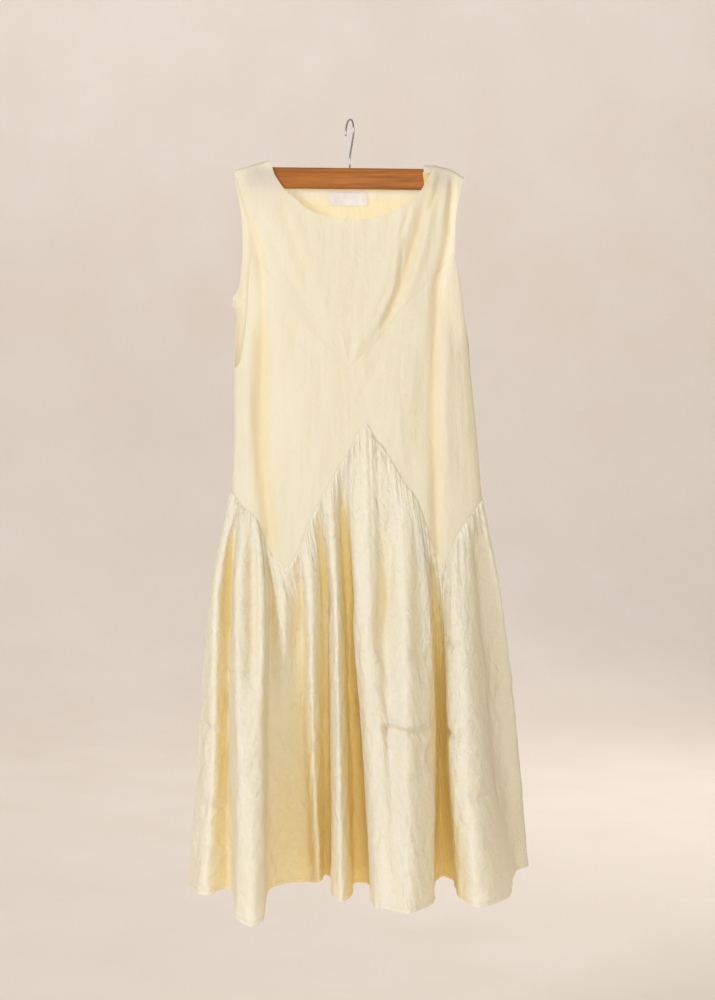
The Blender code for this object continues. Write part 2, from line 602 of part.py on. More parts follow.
def make_material(name, colour, roughness, metallic=0.0):
    """Plain material of one colour."""
    material = bpy.data.materials.new(name)
    material.use_nodes = True
    shader = material.node_tree.nodes["Principled BSDF"]
    shader.inputs["Base Color"].default_value = (*colour, 1.0)
    shader.inputs["Roughness"].default_value = roughness
    shader.inputs["Metallic"].default_value = metallic
    material.diffuse_color = (*colour, 1.0)
    return material


def add_object(name, data, material, collection):
    """Object with its material, in the collection."""
    thing = bpy.data.objects.new(name, data)
    thing.data.materials.append(material)
    collection.objects.link(thing)
    return thing


def add_cloth(name, places, wall, material, collection, neck=None):
    """Cloth piece: a grid set to its places, opened between the two neck columns, thickened to the wall."""
    rows, columns = places.shape[:2]
    mesh = bpy.data.meshes.new(name)
    shape = bmesh.new()
    bmesh.ops.create_grid(shape, x_segments=columns - 1, y_segments=rows - 1, size=1.0)
    if neck:
        roll_end = 1 - 2 * (len(SHOULDER_ROW_DROPS) - 1) / (rows - 1)
        start, end = (2 * column / (columns - 1) - 1 for column in neck)
        centres = [(face, face.calc_center_median()) for face in shape.faces]
        opened = [face for face, centre in centres if centre.y > roll_end and start < centre.x < end]
        bmesh.ops.delete(shape, geom=opened, context="FACES")
    for vertex in shape.verts:
        column = round((vertex.co.x + 1) / 2 * (columns - 1))
        row = round((1 - vertex.co.y) / 2 * (rows - 1))
        vertex.co = places[row, column] * MM
    shape.to_mesh(mesh)
    shape.free()
    mesh.shade_smooth()
    cloth = add_object(name, mesh, material, collection)
    solidify = cloth.modifiers.new("wall", "SOLIDIFY")
    solidify.thickness = wall * MM
    solidify.offset = 0.0
    return cloth


def hook_points():
    """Centreline of the hook: straight stem, slanted run and arc over the rail."""
    centre_drop = HOOK_RADIUS - WIRE_DIAMETER / 2
    lean = math.asin(HOOK_RADIUS / (HOOK_BEND_DROP - centre_drop))
    run = (HOOK_BEND_DROP - centre_drop) * math.cos(lean)
    points = [(0.0, STEM_END_DROP)]
    for share in np.linspace(0, 1, HOOK_BEND_STEPS):
        before = np.array([0.0, HOOK_BEND_DROP + HOOK_BEND_REACH * (1 - share)])
        after = np.array([math.sin(lean), -math.cos(lean)]) * HOOK_BEND_REACH * share + (0.0, HOOK_BEND_DROP)
        points.append(tuple((1 - share) * before + share * after))
    points.append((math.sin(lean) * run * HOOK_RUN_MIDDLE, HOOK_BEND_DROP - math.cos(lean) * run * HOOK_RUN_MIDDLE))
    for angle in np.linspace(-lean, math.radians(HOOK_TIP_DEGREES), HOOK_ARC_STEPS):
        points.append((HOOK_RADIUS * math.cos(angle), centre_drop - HOOK_RADIUS * math.sin(angle)))
    twist = math.radians(HOOK_TWIST_DEGREES)
    return [(ahead * math.sin(twist), -ahead * math.cos(twist), -drop) for ahead, drop in points]


def add_hook(material, collection):
    """Wire hook as a bevelled curve with filled caps."""
    curve = bpy.data.curves.new("hanger_hook", "CURVE")
    curve.dimensions = "3D"
    curve.bevel_depth = WIRE_DIAMETER / 2 * MM
    curve.bevel_resolution = 2
    curve.use_fill_caps = True
    points = hook_points()
    spline = curve.splines.new("POLY")
    spline.points.add(len(points) - 1)
    for target, place in zip(spline.points, points):
        target.co = (*(MM * value for value in place), 1.0)
    return add_object("hanger_hook", curve, material, collection)


def add_bar(material, collection, cutters):
    """Wooden bar with rounded edges and a hole bored for the hook's stem."""
    mesh = bpy.data.meshes.new("hanger_bar")
    shape = bmesh.new()
    bmesh.ops.create_cube(shape, size=1.0)
    bmesh.ops.scale(shape, vec=(BAR_LENGTH * MM, BAR_THICKNESS * MM, BAR_HEIGHT * MM), verts=shape.verts)
    shape.to_mesh(mesh)
    shape.free()
    bar = add_object("hanger_bar", mesh, material, collection)
    bar.location = (BAR_CENTRE_X * MM, 0.0, -BAR_CENTRE_DROP * MM)
    bar.rotation_euler = (0.0, math.radians(BAR_TILT_DEGREES), 0.0)
    bevel = bar.modifiers.new("rounded edges", "BEVEL")
    bevel.width = BAR_EDGE_RADIUS * MM
    bevel.segments = BAR_EDGE_STEPS

    hole_mesh = bpy.data.meshes.new("stem_hole")
    hole_shape = bmesh.new()
    radius = (WIRE_DIAMETER / 2 + STEM_HOLE_CLEARANCE) * MM
    depth = 2 * (STEM_END_DROP + STEM_HOLE_CLEARANCE - (BAR_CENTRE_DROP - BAR_HEIGHT / 2)) * MM
    bmesh.ops.create_cone(
        hole_shape, cap_ends=True, segments=STEM_HOLE_SIDES, radius1=radius, radius2=radius, depth=depth
    )
    hole_shape.to_mesh(hole_mesh)
    hole_shape.free()
    hole = bpy.data.objects.new("stem_hole", hole_mesh)
    hole.location = (0.0, 0.0, -(BAR_CENTRE_DROP - BAR_HEIGHT / 2) * MM)
    hole.hide_render = True
    hole.display_type = "WIRE"
    cutters.objects.link(hole)
    bore = bar.modifiers.new("stem hole", "BOOLEAN")
    bore.operation = "DIFFERENCE"
    bore.object = hole
    return bar


def main():
    """Builds the dress and its hanger."""
    for thing in list(bpy.data.objects):
        bpy.data.objects.remove(thing, do_unlink=True)
    dress = bpy.data.collections.new("midi_dress")
    cutters = bpy.data.collections.new("cutters")
    bpy.context.scene.collection.children.link(dress)
    bpy.context.scene.collection.children.link(cutters)

    yoke, yoke_neck = yoke_places()
    back, back_neck = back_places()
    for name, places, neck in (("front_yoke", yoke, yoke_neck), ("back_bodice", back, back_neck)):
        add_cloth(name, places, CLOTH_WALL, make_material(name + "_cotton", COTTON, 0.85), dress, neck)
    pieces = (
        ("front_panel_left", left_panel_places()),
        ("front_panel_right", right_panel_places()),
        ("front_skirt", skirt_places(FRONT_SKIRT_FOLDS, FRONT_SKIRT_STEPS, SKIRT_ROWS, -1)),
        ("back_skirt", skirt_places(BACK_SKIRT_FOLDS, BACK_SKIRT_STEPS, SKIRT_ROWS, 1)),
    )
    for name, places in pieces:
        add_cloth(name, places, CLOTH_WALL, make_material(name + "_cotton", COTTON, 0.85), dress)
    add_cloth("neck_label", label_places(), LABEL_WALL, make_material("label_satin", SATIN, 0.5), dress)
    add_bar(make_material("bar_wood", WOOD, 0.5), dress, cutters)
    add_hook(make_material("hook_steel", STEEL, 0.35, 1.0), dress)


main()
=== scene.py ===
"""Sleeveless midi dress in thin pale cotton, hung on a straight wooden hanger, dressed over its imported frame.

The frame is in metres with +Z up, and the front of the dress faces -Y. Tables are in millimetres:
x to the right, drop downwards from the hook's crown, and out away from the middle plane of the
dress, forwards for a front piece and backwards for a back piece.
"""

import json
import logging
import math
from dataclasses import dataclass
from enum import Enum
from typing import Callable, Sequence

import bmesh
import bpy
import numpy as np
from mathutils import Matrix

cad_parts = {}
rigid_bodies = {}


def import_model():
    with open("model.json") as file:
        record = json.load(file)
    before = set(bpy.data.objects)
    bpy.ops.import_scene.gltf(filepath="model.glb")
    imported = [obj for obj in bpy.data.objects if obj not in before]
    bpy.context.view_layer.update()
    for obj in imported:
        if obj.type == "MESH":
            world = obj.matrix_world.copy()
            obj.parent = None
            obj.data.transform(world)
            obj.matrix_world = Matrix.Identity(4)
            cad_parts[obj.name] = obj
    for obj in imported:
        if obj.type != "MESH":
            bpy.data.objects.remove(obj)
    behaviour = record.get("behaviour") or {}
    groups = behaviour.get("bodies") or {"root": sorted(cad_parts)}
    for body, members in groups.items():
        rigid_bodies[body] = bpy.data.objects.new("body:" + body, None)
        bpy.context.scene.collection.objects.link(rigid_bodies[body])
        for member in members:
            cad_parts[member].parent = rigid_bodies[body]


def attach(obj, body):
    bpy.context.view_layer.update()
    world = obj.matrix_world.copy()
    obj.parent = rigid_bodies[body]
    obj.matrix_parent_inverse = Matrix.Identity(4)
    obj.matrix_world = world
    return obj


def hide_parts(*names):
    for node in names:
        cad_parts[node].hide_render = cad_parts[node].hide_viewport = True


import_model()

LOG = logging.getLogger("midi_dress")
MM = 0.001
BODY = "root"

Row = tuple[float, ...]
EdgeCurve = Callable[[np.ndarray], np.ndarray]


class Side(Enum):
    """Half of the dress: its value is the sign of Y on that half."""

    FRONT = -1
    BACK = 1


class Held(Enum):
    """How a sheet of cloth is held."""

    HUNG = "hung"
    GATHERED = "gathered"
    LAID = "laid"


# Upper edge of the front, shoulder to shoulder: x, drop
FRONT_TOP = (
    (-182, 78.5), (-126, 62), (-120.5, 78.5), (-114, 90), (-103, 106), (-85.5, 122.5), (-58, 142.5),
    (-22, 152), (16, 155), (53, 148), (75.5, 138), (98.5, 123), (111, 109), (119, 96), (125.5, 84),
    (130, 69.5), (157, 76), (178, 88.5),
)

# Upper edge of the back, shoulder to shoulder: x, drop
BACK_TOP = (
    (-182, 78.5), (-126, 62), (-119, 77), (-106, 89), (-88, 96), (-70, 100), (-30, 103), (20, 104), (70, 101),
    (95, 97), (112, 90), (124, 81), (130, 69.5), (157, 76), (178, 88.5),
)

# Armhole edges of the yoke, shoulder to V seam: x, drop
YOKE_ARMHOLE_LEFT = ((-182, 78.5), (-176, 92), (-166.5, 124), (-156, 162), (-154, 190), (-152, 210))
YOKE_ARMHOLE_RIGHT = ((178, 88.5), (173, 110), (168.5, 130), (165, 160), (164, 185), (165, 209))

# Armhole edges of the lower front panels: x, drop
PANEL_ARMHOLE_LEFT = (
    (-182, 386), (-176, 383), (-173, 379), (-164, 338), (-162, 319), (-159, 287), (-156.5, 240), (-152, 210),
)
PANEL_ARMHOLE_RIGHT = ((165, 209), (169, 232), (174, 257), (179, 299), (182.5, 335), (187, 348))

# Edges of the back, shoulder to underarm and on down the side seam: x, drop
BACK_EDGE_LEFT = (
    (-182, 78.5), (-176, 112), (-170, 150), (-168, 196), (-171, 240), (-177, 300), (-180, 350), (-182, 386),
    (-185.7, 576),
)
BACK_EDGE_RIGHT = (
    (178, 88.5), (166, 118), (157, 150), (152, 196), (156, 240), (166, 292), (178, 335), (187, 348),
    (207.5, 590),
)

# Top-stitched V seam of the yoke: x, drop
V_SEAM = (
    (-152, 210), (-110, 262), (-69, 315.5), (-53, 333), (-38.5, 350), (-23.5, 371), (-2.5, 388),
    (10, 375), (23.5, 363.5), (42, 345), (61, 323.5), (76, 303), (118, 257), (165, 209),
)
V_TIP = 6

# Zigzag seam between bodice and skirt: x, drop
ZIGZAG_SEAM = (
    (-185.7, 576), (-168.5, 600.5), (-148, 616), (-136, 646), (-119.5, 677.5), (-99, 698.5), (-86.5, 683),
    (-68.5, 639), (-42.5, 585.5), (-15.5, 537.5), (-2.5, 518), (12.5, 486.5), (26.5, 471),
    (40, 495), (55, 513), (70, 537.5), (85.5, 564.5), (103.5, 589), (118.5, 630), (141, 706.5),
    (156.5, 670), (167, 646), (180, 627), (193, 610.5), (207.5, 590),
)
ZIGZAG_APEX = 12
ZIGZAG_CORNERS = (5, 12, 19)
LEFT_PANEL_CORNER = 2
RIGHT_PANEL_CORNER = 23
LEFT_CORNER_SHARE = 0.3
RIGHT_CORNER_SHARE = 0.7

# Rows of the upper edges at the two neck points, and the shares across at which the columns meet them
LEFT_NECK_POINT = 1
RIGHT_NECK_POINT = -3
FRONT_NECK_SHARES = (0.1, 0.9)
BACK_NECK_SHARES = (0.14, 0.81)
SHOULDER_ROW_DROPS = (0.0, 0.12, 0.5, 1.1, 1.8, 2.7, 3.8, 5.0, 6.5)
SHOULDER_ROLL_HEIGHT = 6.0

# Front skirt, a row for each crest, wall and valley:
# name, seam x, upper x, upper out, lower x, lower out, hem x, hem out, hem drop
FRONT_SKIRT_FOLDS = (
    ("side_left", -185.7, -223, -5, -239, -10, -257, -20, 1207),
    ("left_panel", -177, -208, 26, -212, 38, -225, 50, 1203),
    ("left_valley", -172, -191, 10, -194, 16, -192, 22, 1199),
    ("tube_1_left_wall", -167, -182, 32, -179, 58, -176, 80, 1215),
    ("tube_1_left_crest", -161, -173, 50, -170, 88, -170, 114, 1224),
    ("tube_1_dip", -153, -152, 42, -151, 90, -148, 135, 1228),
    ("tube_1_right_crest", -146, -136, 46, -135, 84, -133, 118, 1224),
    ("tube_1_right_wall", -140, -131, 28, -132, 45, -131, 75, 1213),
    ("valley_3_left", -133, -123, 15, -128, 10, -127, 18, 1203),
    ("small_fold", -119, -102, 32, -104, 3, -105, -4, 1199),
    ("valley_3_low", -99, -89, 16, -88, -2, -85, -12, 1199),
    ("valley_3_right", -85, -76, 14, -74, -2, -65, -14, 1199),
    ("soft_ridge", -71, -60, 38, -57, 26, -48, 8, 1193),
    ("beside_ridge", -56, -42, 14, -40, -8, -40, -46, 1196),
    ("tube_2_left_floor", -50, -35, 14, -33, -8, -32, -42, 1197),
    ("tube_2_left_wall", -43, -29, 27, -27, 40, -26, 60, 1202),
    ("tube_2_crest", -31, -21, 44, -17, 64, -13, 84, 1204),
    ("tube_2_right_wall", -20, -12, 24, -7, 42, 0, 64, 1203),
    ("valley_5_left", -12, -5, 9, 3, -8, 10, -14, 1200),
    ("valley_5_right", -5, 1, 15, 16, 0, 28, -10, 1200),
    ("tube_3_left_wall", 1, 6, 38, 21, 56, 35, 95, 1203),
    ("tube_3_left_crest", 9, 16, 55, 30, 88, 43, 126, 1203),
    ("tube_3_crown", 25, 33, 58, 46, 98, 59, 138, 1201),
    ("tube_3_dip", 45, 53, 43, 61, 92, 74, 148, 1203),
    ("tube_3_right_crest", 67, 85, 62, 88, 112, 90, 156, 1202),
    ("tube_3_right_dip", 88, 109, 44, 111, 94, 107, 140, 1200),
    ("tube_3_right_edge", 102, 123, 38, 130, 66, 126, 110, 1201),
    ("tube_3_right_wall", 114, 127, 23, 135, 14, 131, 20, 1199),
    ("valley_7_floor", 128, 136, 14, 143, -26, 149, -52, 1199),
    ("valley_7_right", 141, 146, 18, 150, -4, 164, -28, 1199),
    ("tube_4_left_wall", 150, 151, 31, 152, 36, 166, 32, 1197),
    ("tube_4_left_crest", 159, 158, 46, 158, 80, 174, 90, 1200),
    ("tube_4_crown", 169, 170, 53, 176, 99, 196, 125, 1202),
    ("tube_4_right_crown", 177, 182, 47, 197, 90, 220, 110, 1200),
    ("tube_4_right_edge", 187, 201, 28, 214, 55, 247, 68, 1200),
    ("tube_4_right_wall", 193, 210, 8, 224, 6, 257, 0, 1195),
    ("side_valley", 199, 222, -4, 241, -12, 268, -46, 1189),
    ("side_edge", 203, 237, -7, 264, -18, 287, -66, 1188),
    ("side_right", 207.5, 239, -17, 265, -40, 287, -100, 1188),
)

# Back skirt, the same columns as the front skirt
BACK_SKIRT_FOLDS = (
    ("side_left", -185.7, -223, 5, -239, 10, -257, 20, 1207),
    ("turn_left", -177, -213, 32, -226, 56, -241, 84, 1204),
    ("fold_1", -160, -186, 56, -196, 96, -206, 138, 1202),
    ("valley_1", -143, -161, 44, -168, 64, -173, 90, 1201),
    ("fold_2", -125, -136, 60, -140, 108, -140, 150, 1202),
    ("valley_2", -104, -112, 46, -110, 72, -108, 104, 1200),
    ("fold_3", -84, -88, 60, -82, 96, -76, 136, 1200),
    ("valley_3", -64, -62, 47, -54, 70, -44, 106, 1200),
    ("fold_4", -42, -38, 63, -28, 110, -12, 154, 1201),
    ("valley_4", -20, -12, 50, -2, 76, 18, 110, 1200),
    ("fold_5", 5, 12, 64, 24, 112, 48, 158, 1201),
    ("valley_5", 27, 36, 50, 50, 72, 78, 108, 1200),
    ("fold_6", 48, 60, 61, 76, 102, 108, 146, 1201),
    ("valley_6", 70, 86, 47, 104, 70, 134, 100, 1200),
    ("fold_7", 92, 106, 62, 132, 106, 166, 150, 1201),
    ("valley_7", 116, 126, 45, 158, 66, 194, 100, 1199),
    ("fold_8", 140, 147, 56, 184, 98, 224, 144, 1198),
    ("valley_8", 160, 173, 42, 209, 70, 246, 112, 1194),
    ("turn_right", 183, 218, 40, 246, 76, 273, 136, 1190),
    ("side_right", 207.5, 239, 17, 265, 40, 287, 100, 1188),
)
UPPER_LEVEL_DROP = 750.0
LOWER_LEVEL_DROP = 970.0

# How far a row of stitches lies over the middle of its cloth, and the points along a seam that it follows
STITCH_LIFT = 0.3
TOP_STITCH_POINTS = 1200

# Range of standing out over which a crease grows from nothing to its full height
CREASE_FADE_OUT = 8.0


def smooth(knots: Sequence[float], values: Sequence[float], at: np.ndarray | float) -> np.ndarray:
    """Height at each place of a smooth curve through the knots, which never overshoots them.

    Args:
        knots: Places of the knots, rising.
        values: Height at each knot.
        at: Places to read.

    Returns:
        The height at each place.
    """
    knots = np.asarray(knots, float)
    values = np.asarray(values, float)
    step = np.diff(knots)
    slope = np.diff(values) / step
    tangent = np.concatenate(([slope[0]], np.zeros(len(step) - 1), [slope[-1]]))
    before, after = slope[:-1], slope[1:]
    same = before * after > 0
    tangent[1:-1][same] = 2 * before[same] * after[same] / (before[same] + after[same])
    at = np.clip(np.asarray(at, float), knots[0], knots[-1])
    index = np.clip(np.searchsorted(knots, at, side="right") - 1, 0, len(step) - 1)
    t = (at - knots[index]) / step[index]
    rise = values[index] * (2 * t**3 - 3 * t**2 + 1) + values[index + 1] * (3 * t**2 - 2 * t**3)
    lean = tangent[index] * (t**3 - 2 * t**2 + t) + tangent[index + 1] * (t**3 - t**2)
    return rise + lean * step[index]


def ease(values: np.ndarray | float) -> np.ndarray:
    """Values from 0 to 1 turned into a soft step."""
    t = np.clip(values, 0.0, 1.0)
    return t * t * (3 - 2 * t)


def spread(values: Sequence[float], start: float = 0.0, end: float = 1.0) -> np.ndarray:
    """Values spaced as they are, but from start to end."""
    values = np.asarray(values, float)
    return start + (end - start) * (values - values[0]) / (values[-1] - values[0])


def by_x(table: Sequence[Row], start: float = 0.0, end: float = 1.0) -> np.ndarray:
    """Shares of the rows of an edge by how far across they lie."""
    return spread([row[0] for row in table], start, end)


def by_drop(table: Sequence[Row], start: float = 0.0, end: float = 1.0) -> np.ndarray:
    """Shares of the rows of an edge by how far down they lie."""
    return spread([row[1] for row in table], start, end)


def by_length(table: Sequence[Row], start: float = 0.0, end: float = 1.0) -> np.ndarray:
    """Shares of the rows of an edge by the length of edge before them."""
    steps = np.diff(np.array(table, float), axis=0)
    return spread(np.concatenate(([0.0], np.cumsum(np.hypot(*steps.T)))), start, end)


def on_columns(shares: np.ndarray, columns: int) -> np.ndarray:
    """Shares moved each to a column of its own, so that both pieces at a seam have the seam's corners.

    Args:
        shares: Rising shares from 0 to 1.
        columns: Number of columns.

    Returns:
        The moved shares.
    """
    nearest = np.round(np.asarray(shares) * columns).astype(int)
    for index in range(1, len(nearest)):
        nearest[index] = max(nearest[index], nearest[index - 1] + 1)
    nearest[-1] = columns
    for index in range(len(nearest) - 2, 0, -1):
        nearest[index] = min(nearest[index], nearest[index + 1] - 1)
    return nearest / columns


def length_along(places: np.ndarray) -> np.ndarray:
    """Length of line before each place of a row of places."""
    return np.concatenate(([0.0], np.cumsum(np.linalg.norm(np.diff(places, axis=0), axis=-1))))


def waves(
    x: np.ndarray, y: np.ndarray, seed: int, x_length: float, y_length: float, count: int = 9
) -> np.ndarray:
    """Uneven ripples between -1 and 1, made of a few sine waves in seeded directions.

    Args:
        x: Places across, in millimetres.
        y: Places down, in millimetres.
        seed: Seed of the directions and phases.
        x_length: Typical wave length across.
        y_length: Typical wave length down.
        count: Number of waves.

    Returns:
        The height of the ripples at each place.
    """
    rng = np.random.default_rng(seed)
    total = np.zeros(np.broadcast(x, y).shape)
    for _ in range(count):
        across = rng.uniform(0.6, 1.5) / x_length * rng.choice([-1, 1])
        down = rng.uniform(0.5, 1.5) / y_length
        total += np.sin(2 * math.pi * (across * x + down * y) + rng.uniform(0, 2 * math.pi))
    return total / count**0.5 / 1.4


@dataclass(frozen=True)
class Crease:
    """A pressed or hanging crease: a soft ridge or trough along three places of the cloth.

    A negative height is a trough. A roll has a ridge above the line and a trough under it. The crease
    is left out where the cloth stands out less than least_out, so that hidden walls stay plain.
    """

    name: str
    line: tuple[tuple[float, float], tuple[float, float], tuple[float, float]]
    width: float
    height: float
    least_out: float = -1000.0
    roll: bool = False

    def press(self, x: np.ndarray, drop: np.ndarray, out: np.ndarray) -> np.ndarray:
        """Height that the crease adds at each place.

        Args:
            x: Places across.
            drop: Places down.
            out: How far each place stands out, to leave the hidden walls alone.

        Returns:
            The height in millimetres.
        """
        first, middle, last = self.line
        nearest = np.full(x.shape, np.inf)
        signed = np.zeros(x.shape)
        along = np.zeros(x.shape)
        for start, end, base in ((first, middle, 0.0), (middle, last, 0.5)):
            dx, dz = end[0] - start[0], end[1] - start[1]
            length = math.hypot(dx, dz)
            t = np.clip(((x - start[0]) * dx + (drop - start[1]) * dz) / length**2, 0.0, 1.0)
            px, pz = x - start[0] - t * dx, drop - start[1] - t * dz
            distance = np.hypot(px, pz)
            closer = distance < nearest
            nearest = np.where(closer, distance, nearest)
            signed = np.where(closer, (px * dz - pz * dx) / length, signed)
            along = np.where(closer, base + t / 2, along)
        # A roll fades over a twelfth of its length at each end, a plain crease over a quarter
        parts = 12 if self.roll else 4
        ends = ease(along * parts) * ease((1 - along) * parts)
        if self.roll:
            apart = self.width * 0.7
            total = np.exp(-(((signed - apart) / self.width) ** 2))
            total -= np.exp(-(((signed + apart) / self.width) ** 2))
        else:
            total = np.exp(-((nearest / self.width) ** 2))
        return total * ends * self.height * ease((out - self.least_out) / CREASE_FADE_OUT + 0.5)


@dataclass(frozen=True)
class DragFold:
    """A long soft fold of the bodice through three places: a positive depth is a trough."""

    name: str
    xs: tuple[float, float, float]
    drops: tuple[float, float, float]
    reach: float
    depth: float

    def depth_at(self, x: np.ndarray, drop: np.ndarray, fade_length: float) -> np.ndarray:
        """Inward depth at each place.

        Args:
            x: Places across.
            drop: Places down.
            fade_length: Length over which each end fades.

        Returns:
            The depth in millimetres.
        """
        centre = smooth(self.drops, self.xs, drop)
        fade = np.clip((drop - self.drops[0]) / fade_length + 0.5, 0, 1)
        fade = fade * np.clip((self.drops[2] - drop) / fade_length + 0.5, 0, 1)
        return self.depth * fade * np.exp(-(((x - centre) / self.reach) ** 2))


@dataclass(frozen=True)
class BodiceForm:
    """Form of the bodice: flat over the bar, then an ever deeper ellipse, with its drag folds."""

    # Sections, top to bottom: drop, left edge x, right edge x, half depth, roundness
    sections: tuple[Row, ...] = (
        (55, -190, 184, 12.2, 0.35), (85, -185, 181, 12.5, 0.35), (110, -181, 175, 13.2, 0.40),
        (155, -176, 170, 17, 0.55), (200, -175, 169, 22, 0.70), (250, -177, 177, 26, 0.80),
        (300, -180, 182, 29, 0.85), (350, -181.5, 186, 31, 0.90), (400, -181, 190, 33, 0.90),
        (450, -181.5, 195, 35, 0.90), (500, -182, 200, 37, 0.90), (550, -184, 204, 38, 0.90),
        (600, -187, 208, 39, 0.90), (710, -190, 212, 41, 0.90),
    )
    # Shoulder line: x, drop
    crest: tuple[Row, ...] = (
        (-190, 81), (-182, 78.5), (-126, 62), (-112, 58), (116, 65), (130, 69.5), (157, 76),
        (178, 88.5), (186, 93),
    )
    drags: tuple[DragFold, ...] = (
        DragFold("armhole_to_side", (-150, -136, -135), (165, 250, 330), 9, 6.0),
        DragFold("side_trough", (-135, -139, -122), (330, 480, 668), 12, 11.5),
        DragFold("strap_to_yoke", (131, 108, 57), (84, 170, 322), 9, 6.0),
        DragFold("beside_strap_fold", (82, 60, 8), (146, 231, 367), 10, -3.0),
        DragFold("below_yoke", (53, 39, 19), (352, 392, 427), 8, 1.6),
        DragFold("strap_to_side", (160, 156, 136), (90, 165, 262), 8, 6.0),
        DragFold("long_trough", (136, 131, 137), (262, 440, 690), 9, 7.0),
        DragFold("short_strap_fold", (147, 141, 131), (84, 111, 154), 6, 3.5),
        DragFold("above_apex", (102, 102, 103), (455, 500, 548), 9, 2.0),
        DragFold("left_neck_fold", (-108, -88, -70), (118, 180, 250), 11, 2.0),
    )
    drag_end_fade: float = 45.0
    drag_on_bar: float = 0.35
    drag_full_drops: tuple[float, float] = (108.0, 150.0)
    side_degrees: float = 80.0
    # Crumple of the back's edge in the armhole on the left
    crumple_drop: float = 280.0
    crumple_half_length: float = 15.0
    crumple_reach: float = 16.5
    crumple_height: float = 3.0
    crumple_start_degrees: float = 62.0
    # Painted shade: tint of a drag fold at its full depth, and the depth at which it is full
    painted_shade_share: float = 0.24
    painted_shade_full_depth: float = 8.0
    # Painted golden shade inside the neck, where the cloth is double: share, drops from none to full and from
    # full to none, half width and the length over which it fades to the sides
    neck_shade_share: float = 0.32
    neck_shade_drops: tuple[float, float, float, float] = (106.0, 132.0, 148.0, 172.0)
    neck_shade_half_width: float = 118.0
    neck_shade_fade: float = 20.0

    def section(self, drop: np.ndarray) -> tuple[np.ndarray, np.ndarray, np.ndarray, np.ndarray]:
        """Size of the section at a drop.

        Args:
            drop: How far down the section lies.

        Returns:
            Middle x, half width, half depth and roundness.
        """
        drops, lefts, rights, depths, rounds = np.array(self.sections, float).T
        left, right = smooth(drops, lefts, drop), smooth(drops, rights, drop)
        depth, roundness = smooth(drops, depths, drop), smooth(drops, rounds, drop)
        return (left + right) / 2, (right - left) / 2, depth, roundness

    def painted_shade(self, x: np.ndarray, drop: np.ndarray) -> np.ndarray:
        """Painted shade of each place: how deep in a drag fold of the front it lies, from 0 to 1, times the
        share.
        """
        depths = sum(np.maximum(0, fold.depth_at(x, drop, self.drag_end_fade)) for fold in self.drags)
        return self.painted_shade_share * np.clip(depths / self.painted_shade_full_depth, 0, 1)

    def neck_painted_shade(self, x: np.ndarray, drop: np.ndarray) -> np.ndarray:
        """How golden the back reads inside the neck, as painted shade.

        Args:
            x: Places across.
            drop: Places down.

        Returns:
            The share at each place, from 0 to 1.
        """
        start, full, late, end = self.neck_shade_drops
        height = ease((drop - start) / (full - start)) * ease((end - drop) / (end - late))
        return self.neck_shade_share * height * ease((self.neck_shade_half_width - np.abs(x)) / self.neck_shade_fade)

    def crest_drop(self, x: np.ndarray) -> np.ndarray:
        """Drop of the shoulder line at each x."""
        crest_x, crest_drop = np.array(self.crest, float).T
        return np.interp(x, crest_x, crest_drop)

    def turn_of(self, x: np.ndarray, drop: np.ndarray) -> np.ndarray:
        """How far round its section a place lies, from -90 degrees at the left side to 90."""
        middle, half, _, _ = self.section(drop)
        return np.arcsin(np.clip((np.asarray(x, float) - middle) / half, -1.0, 1.0))

    def place(self, turn: np.ndarray, drop: np.ndarray, side: Side) -> np.ndarray:
        """Places on the bodice.

        Args:
            turn: How far round the section each place lies.
            drop: How far down each place lies.
            side: Front or back.

        Returns:
            The places in millimetres.
        """
        middle, half, depth, roundness = self.section(drop)
        x = middle + half * np.sin(turn)
        out = depth * np.clip(np.cos(turn), 0.0, 1.0) ** roundness
        below = np.clip((drop - self.crest_drop(x)) / SHOULDER_ROLL_HEIGHT, 0.0, 1.0)
        out = out * np.sqrt(1 - (1 - below) ** 2)
        if side is Side.FRONT:
            at_side = np.clip(np.cos(turn) / math.cos(math.radians(self.side_degrees)), 0.0, 1.0)
            upper, lower = self.drag_full_drops
            past_bar = np.clip((drop - upper) / (lower - upper), 0.0, 1.0)
            depths = sum(fold.depth_at(x, drop, self.drag_end_fade) for fold in self.drags)
            out = out - depths * at_side * below * (self.drag_on_bar + (1 - self.drag_on_bar) * past_bar)
        else:
            start = self.crumple_start_degrees
            near_edge = np.clip((-np.degrees(turn) - start) / (90 - start), 0, 1)
            bump = near_edge * np.exp(-(((drop - self.crumple_drop) / self.crumple_half_length) ** 2))
            x = x - self.crumple_reach * bump * (1 + 0.3 * waves(x, drop, 71, 60, 11))
            out = out + self.crumple_height * bump * waves(x, drop, 73, 12, 14)
        return np.stack([x, side.value * out, -drop], axis=-1)


FORM = BodiceForm()


@dataclass(frozen=True)
class EdgeLine:
    """Cut line of an upper or lower edge: smooth through its rows of x and drop, but for its corners."""

    rows: Sequence[Row]
    corners: tuple[int, ...] = ()

    def drop_at(self, x: np.ndarray) -> np.ndarray:
        """Drop of the line.

        Args:
            x: Places across.

        Returns:
            The drop at each of them.
        """
        row_x, row_drop = np.array(self.rows, float).T
        x = np.clip(x, row_x[0], row_x[-1])
        ends = [0, *sorted(corner % len(row_x) for corner in self.corners), len(row_x) - 1]
        drop = np.zeros(np.shape(x))
        for start, end in zip(ends, ends[1:]):
            part = slice(start, end + 1)
            inside = (x >= row_x[start]) & (x <= row_x[end])
            drop = np.where(inside, smooth(row_x[part], row_drop[part], x), drop)
        return drop

    def curve(self, shares: np.ndarray) -> EdgeCurve:
        """The line as a function of the share of it that is passed.

        Args:
            shares: Share at which each row of the line lies.

        Returns:
            Function that gives turn and drop at each share.
        """
        row_x = np.array(self.rows, float)[:, 0]

        def places(at: np.ndarray) -> np.ndarray:
            """Turn and drop at each share."""
            x = np.interp(at, shares, row_x)
            drop = self.drop_at(x)
            return np.stack([FORM.turn_of(x, drop), drop], axis=-1)

        return places


